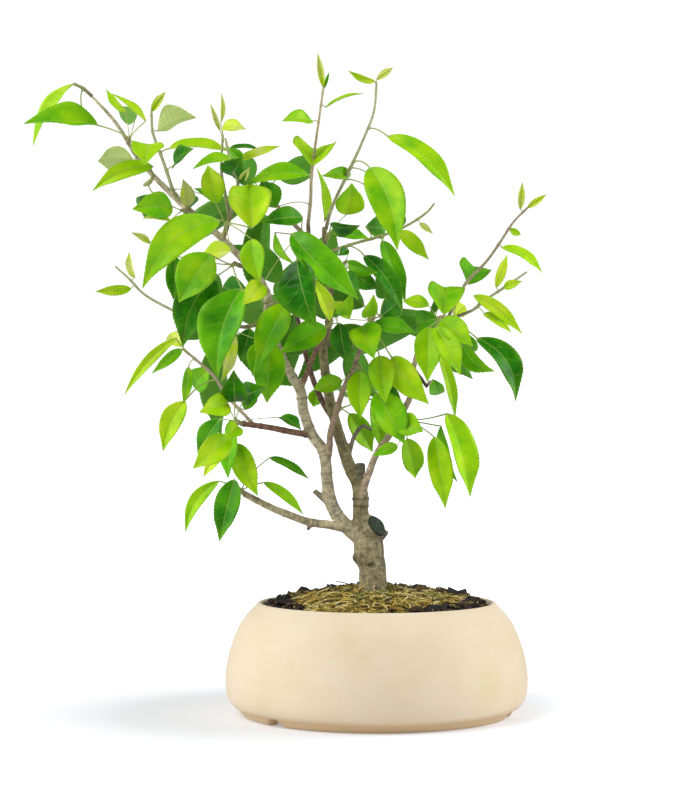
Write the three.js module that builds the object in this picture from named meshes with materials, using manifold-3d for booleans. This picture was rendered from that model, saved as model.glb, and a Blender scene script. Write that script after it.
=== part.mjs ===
// A pear tree grown as a bonsai in a rounded, unglazed clay pot.
//
// Units are millimetres, +Z is up, -Y is the side that is looked at, and the origin is under the
// middle of the whole object, on the surface that the pot stands on.
//
// The tree is described as it is seen from the front: each place is [across, up, depth], where across
// and up are measured on the upright plane through the pot's axis, as seen by an eye at EYE, and depth
// is the distance behind that plane (less than 0 is nearer the eye). seen() turns that into X, Y, Z.

import * as THREE from 'three';
import Module from 'manifold-3d';

const wasm = await Module();
wasm.setup();

// Driving dimensions

// The eye that the tree was drawn from, measured from the pot's axis
const EYE = { x: -19.4, y: -1570, z: 228 };

// Gap left between pieces that touch, and how far a cutter is grown to leave it
const GAP = 0.3;
const CLEAR = 0.48;

// Pot: radii and heights
const POT = {
  facets: 24,
  belly: 110.1,
  floorZ: 12,
  undersideZ: 6,
  footOuter: 97,
  footInner: 89,
  drainRadius: 13,
  rimZ: 81.3,
  rimOuter: 86.7,
  rimInner: 83,
};
const NOTCH = { count: 3, width: 15, height: 6.4, firstTurn: 223 };
const DRAIN_MESH = { side: 36, thick: 1.2, bar: 2.4, openings: 3 };

// Soil and the straw that dresses it
const MOUND = { height: 90, drop: 11.5, power: 2.6, radius: 83 };
const SOIL_BELOW_STRAW = 3;
const CHIPS = { count: 7, size: 4.2 };
const STRAW = { facets: 24, rings: 3, radius: 66, widest: 78, lean: 12, ripple: 5, relief: 0.9 };
const STRANDS = { count: 10, radius: 1.1, shortest: 18, longest: 42 };

// Saw cut on the trunk, and the paste that seals it
const SAW_CUT = { centre: [-0.5, 137.2, -6], facing: [0.6, -0.5, 0.62], reach: 10, pasteThick: 1 };

// Leaves and their stalks
const BLADE_THICK = 0.72;
const STALK_RADIUS = 0.85;
const BLADE_STEPS = [0.18, 0.45, 0.76];
const SMALL_BLADE_STEPS = [0.3, 0.68];
const SMALL_BLADE_WIDTH = 22.5;
const LONG_STALK = 30;

// Colours, as sRGB
const CLAY = '#e6d3b0';
const SOIL_COLOUR = '#2a221b';
const STRAW_COLOUR = '#c9ac5c';
const BARK_COLOUR = '#8d8164';
const PASTE_COLOUR = '#39443a';
const NYLON = '#22262a';
const DARK_LEAF = '#1c7a04';
const PALE_LEAF = '#a6d235';

const degrees = Math.PI / 180;

// seen() moves a place from the plane of the pot's axis along the line of sight to its depth.
function seen([across, up, depth]) {
  const scale = 1 + depth / -EYE.y;
  return new THREE.Vector3(EYE.x + (across - EYE.x) * scale, depth, EYE.z + (up - EYE.z) * scale);
}

// A repeatable stream of numbers between 0 and 1
function seeded(seed) {
  let state = seed;
  return () => {
    state = (state * 16807) % 2147483647;
    return state / 2147483647;
  };
}

// Closed solids

function solid(points, faces) {
  const vertProperties = new Float32Array(points.flatMap((p) => [p.x, p.y, p.z]));
  const triVerts = new Uint32Array(faces.flat());
  return new wasm.Manifold(new wasm.Mesh({ numProp: 3, vertProperties, triVerts }));
}

// A geometry's vertices, shared where they coincide, as a solid
function fromGeometry(geometry) {
  const place = geometry.attributes.position;
  const index = geometry.index;
  const shared = new Map();
  const points = [];
  const numberOf = (i) => {
    const p = new THREE.Vector3().fromBufferAttribute(place, i);
    const key = [p.x, p.y, p.z].map((v) => Math.round(v * 1e4)).join(' ');
    if (!shared.has(key)) {
      shared.set(key, points.length);
      points.push(p);
    }
    return shared.get(key);
  };
  const faces = [];
  const corners = index ? index.count : place.count;
  for (let i = 0; i < corners; i += 3) {
    const face = [0, 1, 2].map((k) => numberOf(index ? index.getX(i + k) : i + k));
    if (new Set(face).size === 3) faces.push(face);
  }
  return solid(points, faces);
}

function toGeometry(body) {
  const mesh = body.getMesh();
  const geometry = new THREE.BufferGeometry();
  geometry.setAttribute('position', new THREE.BufferAttribute(new Float32Array(mesh.vertProperties), 3));
  geometry.setIndex(new THREE.BufferAttribute(new Uint32Array(mesh.triVerts), 1));
  geometry.computeVertexNormals();
  return geometry;
}

const joined = (bodies) => bodies.reduce((whole, body) => whole.add(body));

// The largest body of a solid; crumbs that a cut leaves loose are dropped
function largest(body) {
  return body.decompose().reduce((best, one) => (one.volume() > best.volume() ? one : best));
}

// A ring of points round an axis, turned about +Z: radius and height come from a profile that closes
function turned(profile, facets) {
  const points = profile.map(([radius, height]) => new THREE.Vector2(radius, height));
  const lathe = new THREE.LatheGeometry(points, facets);
  lathe.rotateX(Math.PI / 2);
  return fromGeometry(lathe);
}

// Rings of points, one after another along a stem, closed over into a solid
function skin(points, sides) {
  const faces = [];
  const last = points.length - sides;
  for (let ring = 0; ring < last; ring += sides) {
    for (let j = 0; j < sides; j += 1) {
      const a = ring + j;
      const b = ring + ((j + 1) % sides);
      faces.push([a, b, b + sides], [a, b + sides, a + sides]);
    }
  }
  for (let j = 1; j < sides - 1; j += 1) {
    faces.push([0, j + 1, j], [last, last + j, last + j + 1]);
  }
  return solid(points, faces);
}

// A tube of changing thickness. Stations are [across, up, depth, radius], and grow adds to each radius.
function limb(stations, sides, steps, grow = 0) {
  const curve = new THREE.CatmullRomCurve3(stations.map(seen), false, 'centripetal');
  const frames = curve.computeFrenetFrames(steps);
  const points = [];
  for (let i = 0; i <= steps; i += 1) {
    const along = curve.getUtoTmapping(i / steps) * (stations.length - 1);
    const k = Math.min(Math.floor(along), stations.length - 2);
    const radius = THREE.MathUtils.lerp(stations[k][3], stations[k + 1][3], along - k) + grow;
    const centre = curve.getPointAt(i / steps);
    if (grow > 0 && i === 0) centre.addScaledVector(frames.tangents[i], -grow);
    if (grow > 0 && i === steps) centre.addScaledVector(frames.tangents[i], grow);
    for (let j = 0; j < sides; j += 1) {
      const turn = (2 * Math.PI * j) / sides;
      points.push(centre.clone()
        .addScaledVector(frames.normals[i], radius * Math.cos(turn))
        .addScaledVector(frames.binormals[i], radius * Math.sin(turn)));
    }
  }
  return skin(points, sides);
}

// Pot

// Outer wall from the groove above the foot to the lip, then the inside down to the floor
function pot() {
  const { footOuter, footInner, undersideZ, floorZ, drainRadius, rimZ, rimOuter, rimInner } = POT;
  const profile = [
    [drainRadius, undersideZ], [footInner - 1, undersideZ], [footInner, 0], [footOuter, 0],
    [100.6, 5.8], [103.6, 6.2], [108.3, 12], [POT.belly, 26.5], [107.4, 45], [100, 65], [89, 78],
    [rimOuter, rimZ - 0.3], [rimInner + 1, rimZ], [rimInner, rimZ - 1.4], [94.6, 58], [101.6, 40],
    [101.9, 24], [92, floorZ], [drainRadius, floorZ], [drainRadius, undersideZ],
  ];
  let body = turned(profile, POT.facets);
  for (let i = 0; i < NOTCH.count; i += 1) {
    body = body.subtract(footNotch(NOTCH.firstTurn + (360 / NOTCH.count) * i));
  }
  return body;
}

// One arched notch through the foot ring, for air and water to pass under the pot
function footNotch(turn) {
  const arch = new THREE.Shape();
  arch.moveTo(-NOTCH.width / 2, -2);
  arch.lineTo(NOTCH.width / 2, -2);
  arch.absellipse(0, 0, NOTCH.width / 2, NOTCH.height, 0, Math.PI, false, 0);
  arch.lineTo(-NOTCH.width / 2, -2);
  const geometry = new THREE.ExtrudeGeometry(arch, { depth: 30, bevelEnabled: false, curveSegments: 5 });
  geometry.rotateX(Math.PI / 2);
  geometry.rotateZ(Math.PI / 2);
  geometry.translate(POT.footInner - 16 + 30, 0, 0);
  geometry.rotateZ(turn * degrees);
  return fromGeometry(geometry);
}

// Square of plastic netting that keeps the soil from running out of the drain hole
function drainMesh() {
  const { side, thick, bar, openings } = DRAIN_MESH;
  const middleZ = POT.floorZ + GAP + thick / 2;
  const sheet = new THREE.BoxGeometry(side, side, thick);
  sheet.translate(0, 0, middleZ);
  let net = fromGeometry(sheet);
  const pitch = (side - bar) / openings;
  for (let i = 0; i < openings; i += 1) {
    for (let j = 0; j < openings; j += 1) {
      const opening = new THREE.BoxGeometry(pitch - bar, pitch - bar, 4 * thick);
      const from = (bar - side + pitch) / 2;
      opening.translate(from + i * pitch, from + j * pitch, middleZ);
      net = net.subtract(fromGeometry(opening));
    }
  }
  return net;
}

// Soil

// Height of the dressed mound at a distance from the pot's axis
const moundZ = (radius) => MOUND.height - MOUND.drop * (radius / MOUND.radius) ** MOUND.power;

// The soil fills the pot, steps over the netting, and heaps up to the trunk. lift raises its top.
function soilFill(lift = 0) {
  const heap = [80.4, 52].map((radius) => [radius, moundZ(radius) - SOIL_BELOW_STRAW + lift]);
  const netting = DRAIN_MESH.side * 0.72;
  const nettingTop = POT.floorZ + DRAIN_MESH.thick + 2 * GAP;
  return turned([
    [0, nettingTop], [netting, nettingTop], [netting + 1, POT.floorZ + GAP], [91, POT.floorZ + GAP],
    [101.2, 24.4], [100.9, 40], [93.8, 58], [82, 78], ...heap, [0, MOUND.height - SOIL_BELOW_STRAW + lift],
  ], POT.facets);
}

// Chips of bark that stand out of the soil round the back and the sides, where the straw ends
function soilChips() {
  const draw = seeded(71);
  const chips = [];
  for (let i = 0; i < CHIPS.count; i += 1) {
    const turn = (200 * (i + 0.5)) / CHIPS.count * degrees;
    const size = CHIPS.size * (0.7 + 0.6 * draw());
    const radius = Math.min(strawEdge(turn) + 2 * size + 2 + 6 * draw(), 75);
    const chip = new THREE.BoxGeometry(size * 1.9, size * 1.3, size);
    chip.rotateX(0.5 * draw());
    chip.rotateY(0.5 * draw());
    chip.rotateZ(6 * draw());
    const z = moundZ(radius) - SOIL_BELOW_STRAW + size * 0.12;
    chip.translate(radius * Math.cos(turn), radius * Math.sin(turn), z);
    chips.push(fromGeometry(chip));
  }
  return chips;
}

// Straw

// The straw mat reaches furthest at the front, and its edge wanders
function strawEdge(turn) {
  const { radius, widest, lean, ripple } = STRAW;
  const edge = radius - lean * Math.sin(turn) + ripple * Math.sin(3 * turn + 1);
  return Math.min(edge - 2 * Math.cos(5 * turn), widest);
}

function strawTopZ(radius, turn) {
  const relief = Math.sin(radius / 5 + 3 * turn) * Math.cos(radius / 8 - 5 * turn);
  return moundZ(radius) + STRAW.relief * relief;
}

function strawMat() {
  const { facets, rings } = STRAW;
  const under = MOUND.height - MOUND.drop - 8;
  const points = [new THREE.Vector3(0, 0, MOUND.height), new THREE.Vector3(0, 0, under)];
  const faces = [];
  const top = (ring, k) => 2 + ring * facets + (k % facets);
  for (let ring = 1; ring <= rings; ring += 1) {
    for (let k = 0; k < facets; k += 1) {
      const turn = (2 * Math.PI * k) / facets;
      const radius = (strawEdge(turn) * ring) / rings;
      const drop = ring === rings ? 2 : 0;
      points.push(new THREE.Vector3(
        radius * Math.cos(turn), radius * Math.sin(turn), strawTopZ(radius, turn) - drop));
    }
  }
  for (let k = 0; k < facets; k += 1) {
    const turn = (2 * Math.PI * k) / facets;
    const radius = strawEdge(turn) - 1.5;
    points.push(new THREE.Vector3(radius * Math.cos(turn), radius * Math.sin(turn), under));
  }
  for (let k = 0; k < facets; k += 1) {
    faces.push([0, top(0, k), top(0, k + 1)]);
    for (let ring = 0; ring < rings; ring += 1) {
      faces.push([top(ring, k), top(ring + 1, k), top(ring + 1, k + 1)]);
      faces.push([top(ring, k), top(ring + 1, k + 1), top(ring, k + 1)]);
    }
    faces.push([1, top(rings, k + 1), top(rings, k)]);
  }
  return solid(points, faces);
}

// Bent straws lie over the mat in every direction, with both ends sunk in it
function strawStrands() {
  const draw = seeded(2027);
  const strands = [];
  for (let i = 0; i < STRANDS.count; i += 1) {
    const turn = i * 137.5 * degrees;
    const radius = 17 + (strawEdge(turn) - 40) * Math.sqrt((i + 0.5) / STRANDS.count);
    const heading = Math.PI * draw();
    const length = STRANDS.shortest + (STRANDS.longest - STRANDS.shortest) * draw();
    const bend = 0.5 * (draw() - 0.5);
    const stations = [];
    for (const step of [-0.5, 0, 0.5]) {
      const x = radius * Math.cos(turn) + length * step * Math.cos(heading + bend * step);
      const y = radius * Math.sin(turn) + length * step * Math.sin(heading + bend * step);
      const reach = Math.hypot(x, y);
      if (reach > MOUND.radius - 5) continue;
      const sunk = step === 0 ? 0.8 : -1.4;
      stations.push([x, y, strawTopZ(reach, Math.atan2(y, x)) + sunk, STRANDS.radius]);
    }
    if (stations.length === 3) strands.push(straight(stations, 3));
  }
  return strands;
}

// A thin tube through places given as plain [x, y, z, radius]
function straight(stations, sides) {
  const points = [];
  stations.forEach(([x, y, z, radius], i) => {
    const before = stations[Math.max(i - 1, 0)];
    const after = stations[Math.min(i + 1, stations.length - 1)];
    const along = new THREE.Vector3(after[0] - before[0], after[1] - before[1], after[2] - before[2]);
    along.normalize();
    const side = new THREE.Vector3(0, 0, 1).cross(along).normalize();
    const rise = along.clone().cross(side);
    for (let j = 0; j < sides; j += 1) {
      const turn = (2 * Math.PI * j) / sides;
      points.push(new THREE.Vector3(x, y, z)
        .addScaledVector(side, radius * Math.cos(turn))
        .addScaledVector(rise, radius * Math.sin(turn)));
    }
  });
  return skin(points, sides);
}

// Wood

// Each limb is [sides, steps, stations], and a station is [across, up, depth, radius]
const LIMBS = {
  trunk: [10, 10, [
    [-3, 52, 0, 5], [-3, 62, 0, 11.3], [-3, 78, 0, 12.4], [-3, 92, 0, 10.3], [-3.2, 107, 0, 9.8],
    [-5.4, 115, 0, 11], [-6, 124, 0, 10.9], [-8, 133, 0, 9.6], [-11, 142, 0.5, 6.6],
  ]],
  sawnStub: [8, 2, [[-4.6, 123, -0.5, 7.4], [0.2, 139, -5, 7.2], [2, 148, -8, 6.6]]],
  burr: [5, 2, [[-8, 112, -1, 5], [-14.5, 114, -2, 4], [-17, 113.6, -2.4, 1.6]]],
  pasteDrip: [5, 1, [[3, 128, -3, 3], [6.6, 133, -3.4, 2.2]]],
  leader: [6, 11, [
    [-11.4, 140, 0, 6.3], [-11.8, 148, 0, 5.7], [-11.6, 156, 0, 5.9], [-13, 167, 0, 5.5],
    [-19, 178, 1, 4.7], [-25, 195, 3, 4.2], [-29.5, 210, 4, 4], [-34, 228, 5, 3.7],
    [-37.6, 250, 6, 3.4], [-38.7, 267, 7, 3.2], [-35, 283, 8, 2.8], [-34, 305, 10, 2.5],
    [-38, 330, 12, 2.2], [-38, 354, 12, 1.8],
  ]],
  leaderStub: [6, 1, [[-12.6, 168, -1, 4.2], [-11.4, 182, -2, 3.3]]],
  leaderFork: [4, 3, [[-36, 315, 11, 2.2], [-43, 332, 3, 2], [-49, 345, -8, 1.8], [-50, 356, -12, 1.6]]],
  leaderSpur: [4, 1, [[-34, 305, 10, 2], [-29, 318, 8, 1.9], [-26, 325, 6, 1.6]]],
  left: [5, 15, [
    [-12, 128, 0, 6], [-18, 132.5, -1, 5.6], [-28, 143, -2, 4.9], [-33.5, 154, -3, 4.7],
    [-36, 168, -4, 4.3], [-37, 182, -5, 4.2], [-39.5, 192, -5, 4.1], [-46.5, 202, -6, 3.9],
    [-53, 219, -8, 3.8], [-55.5, 235, -10, 3.7], [-62, 246, -11, 3.4], [-69, 260, -12, 3.3],
    [-79, 285, -14, 3], [-79, 299, -15, 3.3], [-82, 311, -17, 2.7], [-107, 340, -20, 2.5],
    [-135, 365, -18, 2.2], [-143, 372, -16, 2.5], [-173, 403, -12, 1.7], [-190, 430, -9, 1.4],
    [-209, 451, -8, 1.1],
  ]],
  leftStub: [5, 1, [[-35, 153, -3, 2.6], [-45.6, 162, -5, 1.9]]],
  leftTwig: [4, 3, [
    [-55.5, 236, -10, 2.2], [-51.5, 246, -12, 2.1], [-44, 264, -14, 1.9], [-35, 279.5, -15, 1.8],
  ]],
  leftSpur: [4, 1, [[-79, 288, -14, 2], [-88, 283, -19, 1.8], [-96, 281, -22, 1.6]]],
  midSpur: [4, 1, [[-112, 346, -20, 2], [-109, 354, -22, 1.9], [-107, 361, -23, 1.7]]],
  frontSpur: [4, 1, [[-95, 325, -18, 1.9], [-100, 326, -24, 1.8], [-104, 328, -29, 1.6]]],
  forkTwig: [5, 8, [
    [-37, 182, -5, 2.6], [-34.8, 189, -7, 2.5], [-33.5, 205, -9, 2.3], [-30, 217, -9, 2.2],
    [-23.6, 237, -7, 2.1], [-16, 252.5, -5, 1.9], [-13.4, 261, -4, 1.9], [-5, 281, -3, 1.8],
    [-1.3, 293, -2, 1.6],
  ]],
  right: [5, 9, [
    [-11.4, 156, -3, 2.8], [-7.5, 169, -5, 2.6], [0, 189, -7, 2.5], [9, 202, -8, 2.4],
    [20, 221, -9, 2.3], [25, 232, -10, 2.1], [27.5, 254, -12, 1.9], [35, 274, -14, 1.8],
    [44, 287, -15, 1.8], [60, 288, -15, 1.5],
  ]],
  rightSpur: [4, 1, [[19, 220, -9, 1.7], [16, 229, -10, 1.5], [12.5, 236, -11, 1.3]]],
  rightTwig: [4, 1, [[26, 252, -12, 1.5], [32, 244, -11, 1.4], [37, 237, -10, 1.2]]],
  leaderTwig: [4, 3, [[-20, 189, 2, 1.8], [-16, 202, 4, 1.6], [-10, 209, 5, 1.5], [-3, 206, 6, 1.2]]],
  lowLeft: [5, 5, [
    [-17, 133.5, -3, 3.6], [-34, 137, -7, 3.2], [-48.5, 139, -9, 3], [-63, 144, -11, 2.8],
    [-77.6, 150, -13, 2.6], [-97, 160, -15, 2.4],
  ]],
  lowLeftNub: [4, 1, [[-47, 138, -9, 1.8], [-50.5, 133.5, -10, 1.3]]],
  midLeft: [5, 4, [
    [-48, 202.5, -6.5, 2.6], [-63, 205, -11, 2.3], [-78, 208, -15, 2.2], [-99, 211, -20, 2],
  ]],
  backUpright: [4, 4, [
    [-31, 213, 4, 2.4], [-40, 228, 12, 2.2], [-48, 248, 22, 2], [-56, 280, 40, 1.8],
    [-60, 300, 56, 1.6],
  ]],
  backRight: [4, 3, [[-38, 268, 7, 2.1], [-22, 272, 26, 1.9], [-6, 276, 44, 1.8], [8, 284, 62, 1.6]]],
  backLeft: [4, 3, [[-69, 258, -12, 2], [-80, 262, 8, 1.9], [-98, 270, 28, 1.8], [-118, 282, 46, 1.6]]],
  backFar: [4, 3, [[27, 252, -12, 1.7], [30, 264, 8, 1.6], [38, 276, 28, 1.5], [50, 286, 46, 1.4]]],
  backTop: [4, 3, [[-38, 328, 12, 1.9], [-50, 345, 32, 1.8], [-66, 362, 50, 1.6], [-80, 378, 62, 1.5]]],
};

// A drum that stands on the sawn face. Its foot is raised above the face by lift.
function sawDrum(lift, height) {
  const { centre, facing, reach } = SAW_CUT;
  const out = new THREE.Vector3(...facing).normalize();
  const drum = new THREE.CylinderGeometry(reach, reach, height, 12);
  drum.applyQuaternion(new THREE.Quaternion().setFromUnitVectors(new THREE.Vector3(0, 1, 0), out));
  const place = seen(centre).addScaledVector(out, lift + height / 2);
  drum.translate(place.x, place.y, place.z);
  return fromGeometry(drum);
}

const limbOf = (name, grow = 0) => {
  const [sides, steps, stations] = LIMBS[name];
  return limb(stations, sides, steps, grow);
};

function wood(grow = 0) {
  const grown = joined(Object.keys(LIMBS).map((name) => limbOf(name, grow)));
  return largest(grown.subtract(sawDrum(grow, 24)));
}

// Paste over the saw cut: the stub carried on past the sawn face, a gap above it
function cutPaste() {
  return limbOf('sawnStub').intersect(sawDrum(GAP, SAW_CUT.pasteThick));
}

// Leaves

// A leaf goes from base to tip. width is its full width laid flat; roll turns it about its length from
// facing the eye; fold raises each half; arch bends the rib out of the blade and bow bends it sideways,
// both as a share of the length; tone runs from 0, dark and glossy, to 1, pale yellow-green.
// A coarse leaf keeps the few facets of a small blade.
function leaf(base, tip, width, look = {}) {
  return { base, tip, width, roll: 0, fold: 24, arch: 0.08, bow: 0, tone: 0.5, coarse: false, ...look };
}

// The leaf's own axes: along its length, across it, and out of its upper face
function leafAxes({ base, tip, roll }) {
  const start = seen(base);
  const along = seen(tip).sub(start);
  const length = along.length();
  along.divideScalar(length);
  const facing = new THREE.Vector3(0, -1, 0);
  facing.addScaledVector(along, -facing.dot(along)).normalize();
  const out = facing.applyAxisAngle(along, roll * degrees);
  const side = out.clone().cross(along);
  return { start, along, out, side, length };
}

// Half width of a pear leaf at a share of its length: round below the middle, drawn out to the tip
function outline(t) {
  const round = Math.sin(Math.PI * t ** 0.78) ** 0.75;
  return round * (1 - 0.45 * Math.max(0, (t - 0.7) / 0.3));
}

// A place on the blade, t along the rib from 0 to 1 and s across from -1 to 1
function bladePoint(shape, axes, t, s) {
  const { width, fold, arch, bow } = shape;
  const { start, along, out, side, length } = axes;
  const half = Math.max((width / 2) * outline(t), 0.45);
  const hump = 4 * t * (1 - t);
  const lift = Math.abs(s) * half * Math.sin(fold * degrees);
  const wave = 0.05 * width * s * s * Math.sin(9 * t + 1.5 * s);
  return start.clone()
    .addScaledVector(along, length * t)
    .addScaledVector(side, s * half * Math.cos(fold * degrees) + bow * length * hump)
    .addScaledVector(out, arch * length * hump + lift + wave * outline(t));
}

// Three points round the stalk: left, under and right
function stalkRing(centre, along, axes) {
  const side = axes.side.clone().addScaledVector(along, -axes.side.dot(along)).normalize();
  const out = along.clone().cross(side);
  return [[-1, 0.5], [0, -1], [1, 0.5]].map(([s, face]) => centre.clone()
    .addScaledVector(side, STALK_RADIUS * s)
    .addScaledVector(out, STALK_RADIUS * face));
}

// Six points round the blade: under left, middle and right, then upper right, middle and left
function bladeRing(shape, axes, t) {
  const thick = BLADE_THICK / Math.cos(shape.fold * degrees);
  const round = [[-1, -1], [0, -1], [1, -1], [1, 1], [0, 1], [-1, 1]];
  return round.map(([s, face]) => (
    bladePoint(shape, axes, t, s).addScaledVector(axes.out, (face * thick) / 2)));
}

// The stalk starts at the stem's nearest place, follows the stem a little and bends to the leaf
function stalkPath(axes, curves) {
  let best = { distance: Infinity };
  for (const curve of curves) {
    const first = curve.getLength() < 22 ? 0.55 : 0.15;
    for (let i = 0; i <= 20; i += 1) {
      const u = first + ((0.94 - first) * i) / 20;
      const place = curve.getPointAt(u);
      const distance = place.distanceTo(axes.start);
      if (distance < best.distance) best = { distance, place, heading: curve.getTangentAt(u) };
    }
  }
  best.place.addScaledVector(axes.start.clone().sub(best.place).normalize(), 0.35);
  const elbow = best.place.clone().addScaledVector(best.heading, 0.3 * best.distance);
  elbow.lerp(axes.start, 0.35);
  return new THREE.QuadraticBezierCurve3(best.place, elbow, axes.start);
}

// A leaf as one closed body: the stalk, the blade folded along its rib, and the pointed tip
function leafBody(shape, curves) {
  const axes = leafAxes(shape);
  const path = stalkPath(axes, curves);
  const stalkSteps = path.getLength() > LONG_STALK ? [0, 0.5] : [0];
  const stalk = stalkSteps.map((u) => stalkRing(path.getPoint(u), path.getTangent(u), axes));
  const turnIn = path.getTangent(1).add(axes.along).normalize();
  stalk.push(stalkRing(axes.start, turnIn, axes));
  const steps = shape.coarse || shape.width < SMALL_BLADE_WIDTH ? SMALL_BLADE_STEPS : BLADE_STEPS;
  const rings = steps.map((t) => bladeRing(shape, axes, t));
  const points = [...stalk.flat(), ...rings.flat(), bladePoint(shape, axes, 1, 0)];

  const faces = [[0, 2, 1]];
  for (let i = 0; i < stalk.length - 1; i += 1) {
    for (let j = 0; j < 3; j += 1) {
      const a = 3 * i + j;
      const b = 3 * i + ((j + 1) % 3);
      faces.push([a, b, b + 3], [a, b + 3, a + 3]);
    }
  }
  // Where the stalk becomes the blade, its right and left corners each fan out over the upper face
  const first = 3 * stalk.length;
  const [left, under, right] = [first - 3, first - 2, first - 1];
  faces.push([left, under, first + 1], [left, first + 1, first]);
  faces.push([under, right, first + 2], [under, first + 2, first + 1]);
  faces.push([right, first + 3, first + 2], [right, first + 4, first + 3], [right, left, first + 4]);
  faces.push([left, first + 5, first + 4], [left, first, first + 5]);
  for (let i = 0; i < rings.length; i += 1) {
    for (let j = 0; j < 6; j += 1) {
      const a = first + 6 * i + j;
      const b = first + 6 * i + ((j + 1) % 6);
      if (i === rings.length - 1) {
        faces.push([a, b, points.length - 1]);
      } else if (j < 3) {
        faces.push([a, b, b + 6], [a, b + 6, a + 6]);
      } else {
        faces.push([a, b, a + 6], [b, b + 6, a + 6]);
      }
    }
  }
  return solid(points, faces);
}

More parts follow.
